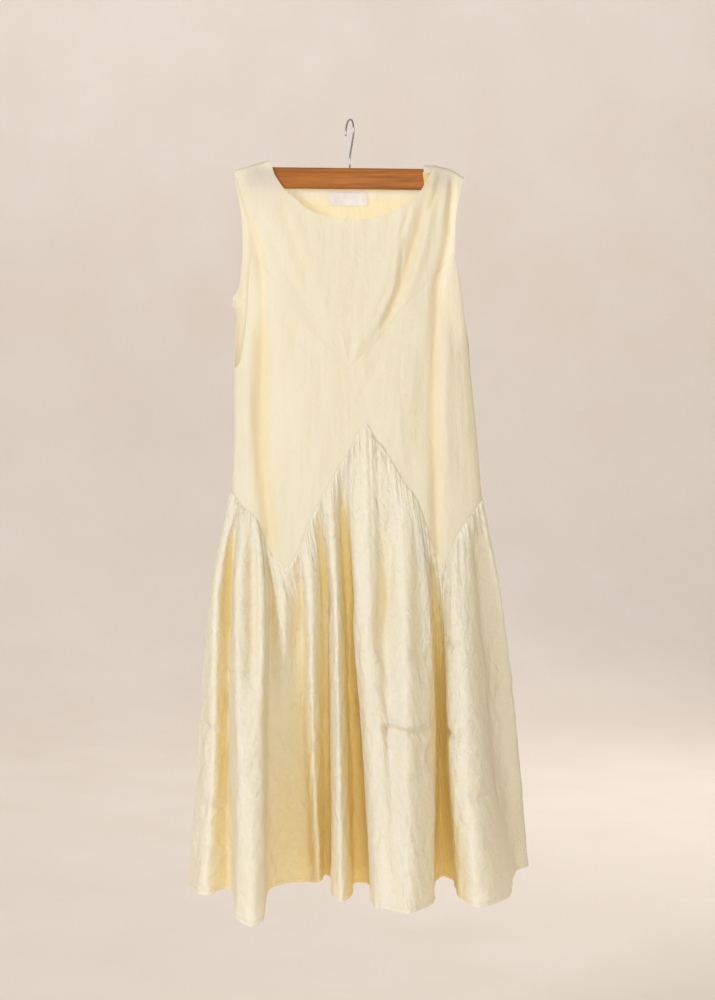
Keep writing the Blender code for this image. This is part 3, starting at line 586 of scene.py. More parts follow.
ZIGZAG = EdgeLine(ZIGZAG_SEAM, ZIGZAG_CORNERS)


def edge_down(table: Sequence[Row], shares: Sequence[float]) -> EdgeCurve:
    """A side edge as a function of the share of it that is passed.

    Args:
        table: Rows of x and drop of the edge.
        shares: Share at which each row lies.

    Returns:
        Function that gives turn and drop at each share, with the turn running evenly from row to row.
    """
    x, drop = np.array(table, float).T
    turn = FORM.turn_of(x, drop)
    return lambda at: np.stack([smooth(shares, turn, at), np.interp(at, shares, drop)], axis=-1)


@dataclass(frozen=True)
class Outline:
    """Four edges of a bodice piece, with the drops of the first rows where it starts over the shoulders."""

    top: EdgeCurve
    bottom: EdgeCurve
    left: EdgeCurve
    right: EdgeCurve
    first_drops: np.ndarray | float = 0.0
    edge_pull: float = 3.0

    def fill(self, columns: int, rows: int) -> np.ndarray:
        """Turn and drop inside the outline.

        Args:
            columns: Number of columns.
            rows: Number of rows under the first rows.

        Returns:
            Turn and drop for each row and column.
        """
        across = np.linspace(0, 1, columns + 1)
        upper, lower = self.top(across), self.bottom(across)
        first = np.atleast_2d(self.first_drops) / (lower[:, 1] - upper[:, 1])
        rest = first[-1] + (1 - first[-1]) * np.linspace(0, 1, rows + 1)[1:, None]
        down = np.vstack([first, rest])
        u, v = across[None, :, None], down[:, :, None]
        left_bend = self.left(down) - (1 - v) * upper[0] - v * lower[0]
        right_bend = self.right(down) - (1 - v) * upper[-1] - v * lower[-1]
        inside = (1 - v) * upper + v * lower
        return inside + (1 - u) ** self.edge_pull * left_bend + u**self.edge_pull * right_bend


def linear(hex_colour: str) -> tuple[float, float, float, float]:
    """An sRGB hex colour as linear red, green, blue and alpha."""
    parts = [int(hex_colour[i : i + 2], 16) / 255 for i in (1, 3, 5)]
    return (*(c / 12.92 if c <= 0.04045 else ((c + 0.055) / 1.055) ** 2.4 for c in parts), 1.0)


def add_node(
    tree: bpy.types.NodeTree, kind: str, links: dict | None = None, **settings: object
) -> bpy.types.Node:
    """Adds a node.

    Args:
        tree: Node tree of the material.
        kind: Node type, without the ShaderNode in front.
        links: Output sockets by the name or number of the input that each feeds.
        settings: Properties of the node, or values of its inputs: by name with underscores for spaces,
            or by the word input and the number, where several inputs share a name.

    Returns:
        The node.
    """
    node = tree.nodes.new("ShaderNode" + kind)
    for key, value in settings.items():
        name = key.replace("_", " ")
        if hasattr(node, key):
            setattr(node, key, value)
            continue
        socket = name if name in node.inputs else int(key.removeprefix("input"))
        node.inputs[socket].default_value = value
    for key, socket in (links or {}).items():
        tree.links.new(socket, node.inputs[key])
    return node


# Bands that a wave texture of scale 1 draws in a metre
WAVE_BANDS = 3.1415


def new_material(name: str) -> tuple[bpy.types.Material, bpy.types.NodeTree, bpy.types.Node, bpy.types.Node]:
    """Makes a material.

    Args:
        name: Its name.

    Returns:
        The material, its node tree, its Principled shader and its output.
    """
    material = bpy.data.materials.new(name)
    material.use_nodes = True
    tree = material.node_tree
    return material, tree, tree.nodes["Principled BSDF"], tree.nodes["Material Output"]


def ramp(
    tree: bpy.types.NodeTree, source: bpy.types.NodeSocket, stops: Sequence[tuple[float, str]]
) -> bpy.types.Node:
    """Adds a colour ramp.

    Args:
        tree: Node tree of the material.
        source: Socket that the ramp reads.
        stops: Position and hex colour of each stop.

    Returns:
        The ramp.
    """
    node = add_node(tree, "ValToRGB", {"Fac": source})
    elements = node.color_ramp.elements
    while len(elements) < len(stops):
        elements.new(0.5)
    for element, (position, colour) in zip(elements, stops):
        element.position = position
        element.color = linear(colour)
    return node


@dataclass(frozen=True)
class CottonFinish:
    """Thin plain-woven cotton, washed and lightly pressed: matt, finely crinkled, a little see-through."""

    name: str = "cotton_plain_weave"
    base: str = "#F7F7F3"
    deep: str = "#F4F2E9"
    through: str = "#FFF8DF"
    # Painted shade: cloth between two folds is lit through both of them and reads a deep yellow, painted in
    # with this colour
    painted_shade: str = "#FFE490"
    slub_mm: float = 34.0
    streak_mm: float = 5.0
    crinkle_mm: float = 9.0
    press_mm: float = 26.0
    # How crumpled it hangs: 1 where it was never pressed
    crumple: float = 1.0
    # Threads stand 0.3 mm apart, drawn at 2.2 mm so that they show at all
    thread_mm: float = 2.2
    see_through: float = 0.54

    def build(self) -> bpy.types.Material:
        """Makes the material, which reads the cloth's own UV map in metres and the painted shade of each place.

        Returns:
            The material.
        """
        material, tree, shader, output = new_material(self.name)
        cloth = add_node(tree, "UVMap", uv_map="cloth").outputs["UV"]
        normal = self.relief(tree, cloth)
        tree.links.new(self.shade(tree, cloth), shader.inputs["Base Color"])
        tree.links.new(normal, shader.inputs["Normal"])
        shader.inputs["Roughness"].default_value = 0.82
        shader.inputs["Specular IOR Level"].default_value = 0.25
        shader.inputs["Sheen Weight"].default_value = 0.12
        shader.inputs["Sheen Roughness"].default_value = 0.5
        glow = add_node(tree, "BsdfTranslucent", {"Normal": normal}, Color=linear(self.through))
        both = {1: shader.outputs["BSDF"], 2: glow.outputs["BSDF"]}
        mixed = add_node(tree, "MixShader", both, Fac=self.see_through)
        tree.links.new(mixed.outputs["Shader"], output.inputs["Surface"])
        return material

    def shade(self, tree: bpy.types.NodeTree, cloth: bpy.types.NodeSocket) -> bpy.types.NodeSocket:
        """Colour of the cloth: faint slubs along the warp, and a painted golden shade between the folds.

        Args:
            tree: Node tree of the material.
            cloth: Place on the cloth.

        Returns:
            The socket with the colour.
        """
        along = add_node(tree, "Mapping", {"Vector": cloth}, Scale=(1.0, 0.18, 1.0)).outputs["Vector"]
        slub = add_node(
            tree, "TexNoise", {"Vector": along}, Scale=1000 / self.slub_mm, Detail=4.0, Roughness=0.6
        ).outputs["Fac"]
        slubs = ramp(tree, slub, ((0.35, self.deep), (0.62, self.base))).outputs["Color"]
        # Painted shade: share of the golden colour painted on each point between the folds
        painted_shade = add_node(tree, "Attribute", attribute_name="painted_shade").outputs["Fac"]
        return add_node(
            tree, "Mix", {0: painted_shade, 6: slubs}, data_type="RGBA", input7=linear(self.painted_shade)
        ).outputs[2]

    def relief(self, tree: bpy.types.NodeTree, cloth: bpy.types.NodeSocket) -> bpy.types.NodeSocket:
        """Relief of the cloth, which breaks up the light: threads, streaks, crinkles and press marks.

        Args:
            tree: Node tree of the material.
            cloth: Place on the cloth.

        Returns:
            The socket with the normal.
        """
        threads = []
        for direction in ("X", "Y"):
            threads.append(
                add_node(
                    tree, "TexWave", {"Vector": cloth}, bands_direction=direction,
                    Scale=1000 / self.thread_mm / WAVE_BANDS,
                ).outputs["Fac"]
            )
        weave = add_node(tree, "Math", dict(enumerate(threads)), operation="MULTIPLY").outputs["Value"]
        normal = add_node(tree, "Bump", {"Height": weave}, Strength=0.10, Distance=0.0002).outputs["Normal"]
        # Length that the pattern is drawn out along the warp, size, detail, roughness, distortion,
        # strength and depth in metres
        kinds = (
            (0.06, self.streak_mm, 3.0, 0.5, 0.0, 0.4, 0.0012),
            (1.0, self.crinkle_mm, 5.0, 0.55, 0.6, 0.8, 0.0026 * self.crumple),
            (0.7, self.press_mm, 3.0, 0.5, 1.1, 0.7, 0.0062 * self.crumple),
        )
        for drawn, size, detail, roughness, distortion, strength, depth in kinds:
            at = add_node(tree, "Mapping", {"Vector": cloth}, Scale=(1.0, drawn, 1.0)).outputs["Vector"]
            noise = add_node(
                tree, "TexNoise", {"Vector": at}, Scale=1000 / size, Detail=detail, Roughness=roughness,
                Distortion=distortion,
            ).outputs["Fac"]
            normal = add_node(
                tree, "Bump", {"Height": noise, "Normal": normal}, Strength=strength, Distance=depth
            ).outputs["Normal"]
        return normal


@dataclass(frozen=True)
class ThreadFinish:
    """Spun polyester sewing thread, a shade deeper than the cloth: matt and twisted, it reads as dashes."""

    name: str = "polyester_thread"
    base: str = "#E9DEBC"
    deep: str = "#DACBA0"
    twist_mm: float = 0.8

    def build(self) -> bpy.types.Material:
        """Makes the material."""
        material, tree, shader, _ = new_material(self.name)
        place = add_node(tree, "TexCoord").outputs["Object"]
        twist = add_node(tree, "TexNoise", {"Vector": place}, Scale=1000 / self.twist_mm, Detail=2.0)
        shade = ramp(tree, twist.outputs["Fac"], ((0.35, self.deep), (0.65, self.base)))
        tree.links.new(shade.outputs["Color"], shader.inputs["Base Color"])
        shader.inputs["Roughness"].default_value = 0.7
        return material


@dataclass(frozen=True)
class SatinFinish:
    """Woven polyester satin ribbon, heat cut: smooth, with a soft sheen across its threads."""

    name: str = "satin_ribbon"
    base: str = "#E0D8CF"
    deep: str = "#CFC5B9"
    cloud_mm: float = 14.0
    # Threads of satin are far finer, drawn at 1.8 mm so that they show at all
    rib_mm: float = 1.8

    def build(self) -> bpy.types.Material:
        """Makes the material, which reads the label's own UV map in metres."""
        material, tree, shader, _ = new_material(self.name)
        cloth = add_node(tree, "UVMap", uv_map="cloth").outputs["UV"]
        cloud = add_node(tree, "TexNoise", {"Vector": cloth}, Scale=1000 / self.cloud_mm, Detail=3.0)
        shade = ramp(tree, cloud.outputs["Fac"], ((0.3, self.deep), (0.7, self.base)))
        rib = add_node(
            tree, "TexWave", {"Vector": cloth}, bands_direction="Y", Scale=1000 / self.rib_mm / WAVE_BANDS
        )
        normal = add_node(tree, "Bump", {"Height": rib.outputs["Fac"]}, Strength=0.15, Distance=0.0002)
        tree.links.new(shade.outputs["Color"], shader.inputs["Base Color"])
        tree.links.new(normal.outputs["Normal"], shader.inputs["Normal"])
        shader.inputs["Roughness"].default_value = 0.42
        shader.inputs["Sheen Weight"].default_value = 0.3
        return material


@dataclass(frozen=True)
class BeechFinish:
    """Steamed beech under a thin matt lacquer: warm orange brown, straight fine grain along the bar."""

    name: str = "beech_lacquered"
    pale: str = "#B0681A"
    mid: str = "#9A5810"
    dark: str = "#7A4008"
    grain_mm: float = 2.4
    band_mm: float = 16.0

    def build(self) -> bpy.types.Material:
        """Makes the material, with the grain along X."""
        material, tree, shader, _ = new_material(self.name)
        place = add_node(tree, "TexCoord").outputs["Object"]
        along = add_node(tree, "Mapping", {"Vector": place}, Scale=(0.035, 1.0, 1.0)).outputs["Vector"]
        grain = add_node(
            tree, "TexNoise", {"Vector": along}, Scale=1000 / self.grain_mm, Detail=6.0, Roughness=0.6,
            Distortion=0.3,
        )
        broad_at = add_node(tree, "Mapping", {"Vector": place}, Scale=(0.08, 1.0, 1.0)).outputs["Vector"]
        broad = add_node(
            tree, "TexNoise", {"Vector": broad_at}, Scale=1000 / self.band_mm, Detail=3.0, Distortion=1.2
        )
        both = add_node(
            tree, "Mix", {2: grain.outputs["Fac"], 3: broad.outputs["Fac"]}, data_type="FLOAT", Factor=0.45
        )
        shade = ramp(tree, both.outputs["Result"], ((0.34, self.dark), (0.5, self.mid), (0.66, self.pale)))
        rough = add_node(tree, "MapRange", {"Value": grain.outputs["Fac"]}, To_Min=0.38, To_Max=0.55)
        normal = add_node(tree, "Bump", {"Height": grain.outputs["Fac"]}, Strength=0.12, Distance=0.0003)
        tree.links.new(shade.outputs["Color"], shader.inputs["Base Color"])
        tree.links.new(rough.outputs["Result"], shader.inputs["Roughness"])
        tree.links.new(normal.outputs["Normal"], shader.inputs["Normal"])
        shader.inputs["Specular IOR Level"].default_value = 0.25
        return material


@dataclass(frozen=True)
class WireFinish:
    """Drawn steel wire, nickel plated: bright grey, a little cloudy, so its glints are uneven."""

    name: str = "steel_wire_nickel"
    base: str = "#A9A9AB"
    deep: str = "#8D8D90"
    cloud_mm: float = 3.0

    def build(self) -> bpy.types.Material:
        """Makes the material."""
        material, tree, shader, _ = new_material(self.name)
        place = add_node(tree, "TexCoord").outputs["Object"]
        cloud = add_node(tree, "TexNoise", {"Vector": place}, Scale=1000 / self.cloud_mm, Detail=4.0)
        shade = ramp(tree, cloud.outputs["Fac"], ((0.3, self.deep), (0.7, self.base)))
        rough = add_node(tree, "MapRange", {"Value": cloud.outputs["Fac"]}, To_Min=0.22, To_Max=0.38)
        tree.links.new(shade.outputs["Color"], shader.inputs["Base Color"])
        tree.links.new(rough.outputs["Result"], shader.inputs["Roughness"])
        shader.inputs["Metallic"].default_value = 1.0
        return material


@dataclass(frozen=True)
class WallFinish:
    """Matt rolled wall paint for the plain backdrop and floor: pale and warm, very slightly uneven."""

    name: str = "matt_wall_paint"
    base: str = "#EADFD5"
    deep: str = "#E7DBD0"

    def build(self) -> bpy.types.Material:
        """Makes the material."""
        material, tree, shader, _ = new_material(self.name)
        place = add_node(tree, "TexCoord").outputs["Object"]
        cloud = add_node(tree, "TexNoise", {"Vector": place}, Scale=3.0, Detail=4.0)
        shade = ramp(tree, cloud.outputs["Fac"], ((0.35, self.deep), (0.65, self.base)))
        tree.links.new(shade.outputs["Color"], shader.inputs["Base Color"])
        shader.inputs["Roughness"].default_value = 0.9
        return material


def deselect() -> None:
    """Deselects every object."""
    for thing in bpy.context.view_layer.objects:
        thing.select_set(False)
    bpy.context.view_layer.objects.active = None


def make_active(thing: bpy.types.Object) -> None:
    """Selects one object alone and makes it active."""
    deselect()
    thing.select_set(True)
    bpy.context.view_layer.objects.active = thing


def apply_modifiers(thing: bpy.types.Object) -> None:
    """Applies every modifier of an object."""
    make_active(thing)
    for modifier in list(thing.modifiers):
        bpy.ops.object.modifier_apply(modifier=modifier.name)


def grid_cells(index: np.ndarray) -> np.ndarray:
    """The four corners of each cell of a grid of vertex numbers."""
    return np.stack([index[:-1, :-1], index[1:, :-1], index[1:, 1:], index[:-1, 1:]], axis=-1)


@dataclass
class Cloth:
    """One cut piece of cloth as a fine grid of places, thickened to a thin shell."""

    name: str
    nodes: tuple[str, ...]
    material: bpy.types.Material
    slot: str = "cotton"
    wall: float = 0.5

    def add(
        self,
        places: np.ndarray,
        opened: tuple[int, int, int] | None = None,
        halved_after: int | None = None,
        painted_shade: np.ndarray | None = None,
        upright: bool = False,
    ) -> bpy.types.Object:
        """Makes the sheet.

        Args:
            places: Place of each row and column, in millimetres.
            opened: First and last column and last row of cells left out, for a neckline under the shoulders.
            halved_after: Row past which only every second column goes on, for a sheet with fine gathers.
            painted_shade: Painted shade of each place, by how deep between its folds it lies, from 0 to 1.
            upright: Whether the grain runs straight down, and not along the columns.

        Returns:
            The object, with its modifiers applied and riding on the dress.
        """
        rows, columns = places.shape[:2]
        index = np.arange(rows * columns).reshape(rows, columns)
        fine = index if halved_after is None else index[: halved_after + 1]
        keep = np.ones((len(fine) - 1, columns - 1), bool)
        if opened:
            keep[: opened[2], opened[0] : opened[1]] = False
        quads, triangles = [grid_cells(fine)[keep]], []
        if halved_after is not None:
            above, below = index[halved_after], index[halved_after + 1, ::2]
            triangles = [
                np.stack([above[0:-2:2], below[:-1], above[1:-1:2]], axis=-1),
                np.stack([above[1:-1:2], below[:-1], below[1:]], axis=-1),
                np.stack([above[1:-1:2], below[1:], above[2::2]], axis=-1),
            ]
            quads.append(grid_cells(index[halved_after + 1 :, ::2]).reshape(-1, 4))
        corners = np.concatenate([part.ravel() for part in quads + triangles])
        used, corners = np.unique(corners, return_inverse=True)
        count = sum(part.size for part in quads)
        faces = corners[:count].reshape(-1, 4).tolist() + corners[count:].reshape(-1, 3).tolist()
        mesh = bpy.data.meshes.new(self.name)
        mesh.from_pydata((places.reshape(-1, 3)[used] * MM).tolist(), [], faces)
        across = np.cumsum(np.pad(np.linalg.norm(np.diff(places, axis=1), axis=-1), ((0, 0), (1, 0))), axis=1)
        down = np.cumsum(np.pad(np.linalg.norm(np.diff(places, axis=0), axis=-1), ((1, 0), (0, 0))), axis=0)
        across = across - across.mean(axis=1, keepdims=True)
        width = across.mean(axis=0)
        uv = np.stack([np.broadcast_to(width, across.shape), down - down[-1]], axis=-1)
        if upright:
            # The cloth that turns away towards the sides is unrolled there
            round_side = np.clip(places[..., 0] / 120, -1, 1) * (40 - np.abs(places[..., 1]))
            uv = np.stack([places[..., 0] + round_side, places[..., 2]], axis=-1)
        uv = uv.reshape(-1, 2)[used] * MM
        layer = mesh.uv_layers.new(name="cloth")
        corners = np.zeros(len(mesh.loops), int)
        mesh.loops.foreach_get("vertex_index", corners)
        layer.data.foreach_set("uv", uv[corners].ravel())
        # Painted shade of each point, kept for the cotton's colour
        depth = np.zeros((rows, columns)) if painted_shade is None else painted_shade
        mesh.attributes.new("painted_shade", "FLOAT", "POINT").data.foreach_set("value", depth.ravel()[used])
        mesh.shade_smooth()
        thing = bpy.data.objects.new(self.name, mesh)
        bpy.context.scene.collection.objects.link(thing)
        thing.data.materials.append(self.material)
        wall = thing.modifiers.new("wall", "SOLIDIFY")
        wall.thickness = self.wall * MM
        wall.offset = 0.0
        apply_modifiers(thing)
        bpy.ops.object.shade_smooth_by_angle(angle=math.radians(60))
        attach(thing, BODY)
        if self.nodes:
            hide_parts(*self.nodes)
        LOG.info("%s: %d faces", self.name, len(thing.data.polygons))
        return thing


def neck_outline(
    table: Sequence[Row], neck_shares: tuple[float, float], columns: int
) -> tuple[np.ndarray, tuple[int, int]]:
    """Shares of the rows of an upper edge, and its neck columns.

    Args:
        table: Upper edge, shoulder to shoulder.
        neck_shares: Shares across at which the columns meet the neck points.
        columns: Number of columns.

    Returns:
        The shares, and the first and last column of the neckline.
    """
    start, end = neck_shares
    left = by_length(table[: LEFT_NECK_POINT + 1], 0.0, start)
    neck = by_length(table[LEFT_NECK_POINT : RIGHT_NECK_POINT + 1], start, end)
    right = by_length(table[RIGHT_NECK_POINT:], end, 1.0)
    shares = on_columns(np.concatenate([left, neck[1:], right[1:]]), columns)
    return shares, (round(shares[LEFT_NECK_POINT] * columns), round(shares[RIGHT_NECK_POINT] * columns))


def shoulder_rows(columns: int, neck: tuple[int, int]) -> np.ndarray:
    """First rows of a piece that starts over the shoulders: close on the shoulders, none inside the neckline.

    Args:
        columns: Number of columns.
        neck: First and last column of the neckline.

    Returns:
        Drop of each of these rows below the edge, for each column.
    """
    on_shoulder = np.ones(columns + 1)
    on_shoulder[neck[0] + 1 : neck[1]] = 0.0
    return np.outer(SHOULDER_ROW_DROPS, on_shoulder)


BODICE_CREASES = (
    Crease("neck_tuck", ((94, 128), (88, 150), (76, 190)), 4.0, -1.8),
    Crease("beside_tuck", ((102, 124), (97, 146), (86, 190)), 4.5, 1.8),
    Crease("sharp_fold", ((84, 190), (76, 256), (44, 338)), 3.4, -2.4),
    Crease("lit_fold", ((77, 175), (67, 270), (14, 366)), 6.5, 3.2),
    Crease("light_band", ((128, 120), (116, 190), (88, 290)), 9.0, 3.0),
    Crease("strap_ridge_inner", ((136, 74), (126, 110), (112, 152)), 4.5, 2.2),
    Crease("strap_trough_inner", ((141, 74), (134, 112), (122, 150)), 3.5, -2.2),
    Crease("strap_ridge_outer", ((152, 80), (148, 120), (140, 170)), 4.5, 2.4),
    Crease("strap_trough_outer", ((160, 84), (158, 130), (152, 180)), 4.0, -2.4),
    Crease("strap_edge", ((169, 88), (167, 120), (163, 160)), 4.0, 1.8),
    Crease("beside_long_trough", ((118, 330), (115, 440), (118, 560)), 13.0, -4.4),
    Crease("long_light_band", ((151, 300), (148, 440), (154, 600)), 12.0, 3.6),
    Crease("left_strap_drag", ((-152, 128), (-96, 240), (-30, 356)), 9.0, -2.0),
    Crease("left_neck_drag", ((-104, 112), (-72, 200), (-20, 340)), 9.0, 1.7),
    Crease("left_low_drag", ((-120, 300), (-66, 350), (-36, 400)), 10.0, -1.5),
    Crease("side_roll", ((-160, 300), (-163, 420), (-160, 560)), 9.0, 3.0),
    Crease("beside_side_trough", ((-122, 360), (-122, 470), (-108, 600)), 12.0, -3.4),
    Crease("v_ray_left", ((-16, 322), (-9, 350), (-4, 382)), 3.5, 1.4),
    Crease("v_ray_middle", ((3, 316), (1, 348), (-1, 380)), 3.5, -1.4),
    Crease("v_ray_right", ((20, 334), (12, 356), (2, 380)), 3.5, 1.5),
    Crease("under_v_left", ((-6, 396), (4, 424), (16, 452)), 6.0, 0.7),
    Crease("under_v_right", ((12, 392), (20, 420), (26, 452)), 6.0, -0.7),
    Crease("belly_left", ((-60, 420), (-52, 500), (-54, 590)), 16.0, 1.8),
    Crease("belly_right", ((62, 400), (66, 450), (72, 500)), 14.0, 1.8),
    Crease("low_right", ((88, 440), (90, 500), (98, 560)), 7.0, -2.0),
)


@dataclass
class Bodice:
    """Front yoke, two lower front panels and back, each cut and sewn along its seams."""

    material: bpy.types.Material
    thread: bpy.types.Material
    yoke_columns: int = 150
    yoke_rows: int = 70
    panel_columns: int = 110
    panel_rows: int = 110
    back_columns: int = 168
    back_rows: int = 130
    seam_groove: float = 0.28
    seam_reach: float = 1.6
    seam_overlap: float = 0.9
    # Ripples: wave length across and down, height
    ripple_kinds: tuple[Row, ...] = ((14, 190, 0.24), (38, 150, 0.48))
    # How far the ripples stay off the side edges, in columns, and off the lower edge, in rows
    ripple_edges: tuple[int, int] = (9, 7)
    ripple_drops: tuple[float, float] = (115.0, 175.0)
    crease_edge: int = 5
    crease_start: float = 14.0
    v_stitch_height: float = 4.0
    zigzag_stitch_height: float = 2.4

    def pressed(self, places: np.ndarray) -> np.ndarray:
        """Height of the creases of the front, none over the shoulders.

        Args:
            places: Places on the front.

        Returns:
            The height at each place.
        """
        x, drop = places[..., 0], -places[..., 2]
        total = sum(crease.press(x, drop, -places[..., 1]) for crease in BODICE_CREASES)
        return total * ease((drop - FORM.crest_drop(x)) / self.crease_start)

    def ripple(self, places: np.ndarray, side: Side, seed: int) -> np.ndarray:
        """The places with the front's creases and faint hanging ripples, none at the edges.

        Args:
            places: Grid of places.
            side: Front or back.
            seed: Seed of the ripples.

        Returns:
            The moved places.
        """
        moved = places.copy()
        x, drop = places[..., 0], -places[..., 2]
        rows, columns = np.arange(places.shape[0]), np.arange(places.shape[1])
        from_side, from_bottom = np.minimum(columns, columns[::-1]), rows[::-1]
        if side is Side.FRONT:
            moved[..., 1] -= self.pressed(places) * ease(from_side / self.crease_edge)
        side_edge, lower_edge = self.ripple_edges
        start, full = self.ripple_drops
        fade = ease(from_side / side_edge)[None, :] * ease(from_bottom / lower_edge)[:, None]
        fade = fade * ease((drop - start) / (full - start))
        for index, (across, down, size) in enumerate(self.ripple_kinds):
            moved[..., 1] += side.value * size * waves(x, drop, seed + index, across, down) * fade
        return moved

    def groove(self, places: np.ndarray, side: Side, top: bool, bottom: bool) -> np.ndarray:
        """The places with their sewn edges drawn in, which leaves a fine line at each seam.

        Args:
            places: Grid of places.
            side: Front or back.
            top: Whether the upper edge is sewn.
            bottom: Whether the lower edge is sewn.

        Returns:
            The moved places.
        """
        moved = places.copy()
        for wanted, edge in ((top, places[0]), (bottom, places[-1])):
            if wanted:
                distance = np.abs(places[..., 2] - edge[None, :, 2])
                moved[..., 1] -= side.value * self.seam_groove * np.exp(-((distance / self.seam_reach) ** 2))
        if bottom:
            down = places[-1] - places[-2]
            moved[-1] += self.seam_overlap * down / np.linalg.norm(down, axis=-1, keepdims=True)
        return moved

    def yoke(self) -> bpy.types.Object:
        """Front yoke, from the shoulders and the neckline down to the V seam.

        Returns:
            The object.
        """
        columns = self.yoke_columns
        shares, neck = neck_outline(FRONT_TOP, FRONT_NECK_SHARES, columns)
        outline = Outline(
            EdgeLine(FRONT_TOP, (LEFT_NECK_POINT, RIGHT_NECK_POINT)).curve(shares),
            EdgeLine(V_SEAM, (V_TIP,)).curve(on_columns(by_x(V_SEAM), columns)),
            edge_down(YOKE_ARMHOLE_LEFT, by_drop(YOKE_ARMHOLE_LEFT)),
            edge_down(YOKE_ARMHOLE_RIGHT, by_drop(YOKE_ARMHOLE_RIGHT)),
            shoulder_rows(columns, neck),
        )
        inside = outline.fill(columns, self.yoke_rows)
        places = FORM.place(inside[..., 0], inside[..., 1], Side.FRONT)
        places = self.groove(self.ripple(places, Side.FRONT, 3), Side.FRONT, False, True)
        cloth = Cloth("yoke_cloth", ("front_yoke",), self.material)
        # Painted shade in the drag folds of the front
        painted_shade = FORM.painted_shade(places[..., 0], -places[..., 2])
        thing = cloth.add(places, (*neck, len(SHOULDER_ROW_DROPS) - 1), painted_shade=painted_shade, upright=True)
        return thing

    def panel_outline(self, left: bool) -> Outline:
        """Edges of a lower front panel.

        Args:
            left: Whether it is the panel on the left.

        Returns:
            The outline.
        """
        columns = self.panel_columns
        centre = edge_down((V_SEAM[V_TIP], ZIGZAG_SEAM[ZIGZAG_APEX]), (0, 1))
        if left:
            seam = V_SEAM[: V_TIP + 1]
            seam_shares = on_columns(by_x(seam, LEFT_CORNER_SHARE), columns)
            armhole = by_length(PANEL_ARMHOLE_LEFT, 0.0, LEFT_CORNER_SHARE)
            side = ZIGZAG_SEAM[: LEFT_PANEL_CORNER + 1]
            middle = ZIGZAG_SEAM[LEFT_PANEL_CORNER : ZIGZAG_APEX + 1]
            shares = np.append(by_x(side, 0.0, LEFT_CORNER_SHARE), by_x(middle, LEFT_CORNER_SHARE)[1:])
            line = EdgeLine(PANEL_ARMHOLE_LEFT + seam[1:], (len(PANEL_ARMHOLE_LEFT) - 1,))
            return Outline(
                line.curve(np.append(armhole, seam_shares[1:])),
                EdgeLine(side + middle[1:], ZIGZAG_CORNERS[:1]).curve(on_columns(shares, columns)),
                edge_down((PANEL_ARMHOLE_LEFT[0], ZIGZAG_SEAM[0]), (0, 1)),
                centre,
            )
        seam = V_SEAM[V_TIP:]
        seam_shares = on_columns(by_x(seam, 0.0, RIGHT_CORNER_SHARE), columns)
        armhole = by_length(PANEL_ARMHOLE_RIGHT, RIGHT_CORNER_SHARE)
        middle = ZIGZAG_SEAM[ZIGZAG_APEX : RIGHT_PANEL_CORNER + 1]
        side = ZIGZAG_SEAM[RIGHT_PANEL_CORNER:]
        shares = np.append(by_x(middle, 0.0, RIGHT_CORNER_SHARE), by_x(side, RIGHT_CORNER_SHARE)[1:])
        tooth = ZIGZAG_CORNERS[-1] - ZIGZAG_APEX
        line = EdgeLine(seam + PANEL_ARMHOLE_RIGHT[1:], (len(seam) - 1,))
        return Outline(
            line.curve(np.append(seam_shares, armhole[1:])),
            EdgeLine(middle + side[1:], (tooth,)).curve(on_columns(shares, columns)),
            centre,
            edge_down((PANEL_ARMHOLE_RIGHT[-1], ZIGZAG_SEAM[-1]), (0, 1)),
        )

    def panel(self, left: bool) -> bpy.types.Object:
        """One lower front panel.

        Args:
            left: Whether it is the panel on the left.

        Returns:
            The object.
        """
        inside = self.panel_outline(left).fill(self.panel_columns, self.panel_rows)
        places = FORM.place(inside[..., 0], inside[..., 1], Side.FRONT)
        places = self.groove(self.ripple(places, Side.FRONT, 5 if left else 7), Side.FRONT, True, True)
        name = "left" if left else "right"
        cloth = Cloth(f"panel_{name}_cloth", (f"front_panel_{name}",), self.material)
        # Painted shade in the drag folds of the front
        thing = cloth.add(places, painted_shade=FORM.painted_shade(places[..., 0], -places[..., 2]), upright=True)
        return thing

    def back(self) -> bpy.types.Object:
        """Back bodice, from the shoulders and the back neckline down to the zigzag seam.

        Returns:
            The object.
        """
        columns = self.back_columns
        shares, neck = neck_outline(BACK_TOP, BACK_NECK_SHARES, columns)
        outline = Outline(
            EdgeLine(BACK_TOP, (LEFT_NECK_POINT, RIGHT_NECK_POINT)).curve(shares),
            ZIGZAG.curve(on_columns(by_x(ZIGZAG_SEAM), columns)),
            edge_down(BACK_EDGE_LEFT, by_drop(BACK_EDGE_LEFT)),
            edge_down(BACK_EDGE_RIGHT, by_drop(BACK_EDGE_RIGHT)),
            shoulder_rows(columns, neck),
        )
        inside = outline.fill(columns, self.back_rows)
        places = FORM.place(inside[..., 0], inside[..., 1], Side.BACK)
        places = self.groove(self.ripple(places, Side.BACK, 9), Side.BACK, False, True)
        cloth = Cloth("back_cloth", ("back_bodice",), self.material)
        # Painted golden shade inside the neck
        painted_shade = FORM.neck_painted_shade(places[..., 0], -places[..., 2])
        thing = cloth.add(places, (*neck, len(SHOULDER_ROW_DROPS) - 1), painted_shade=painted_shade, upright=True)
        return thing

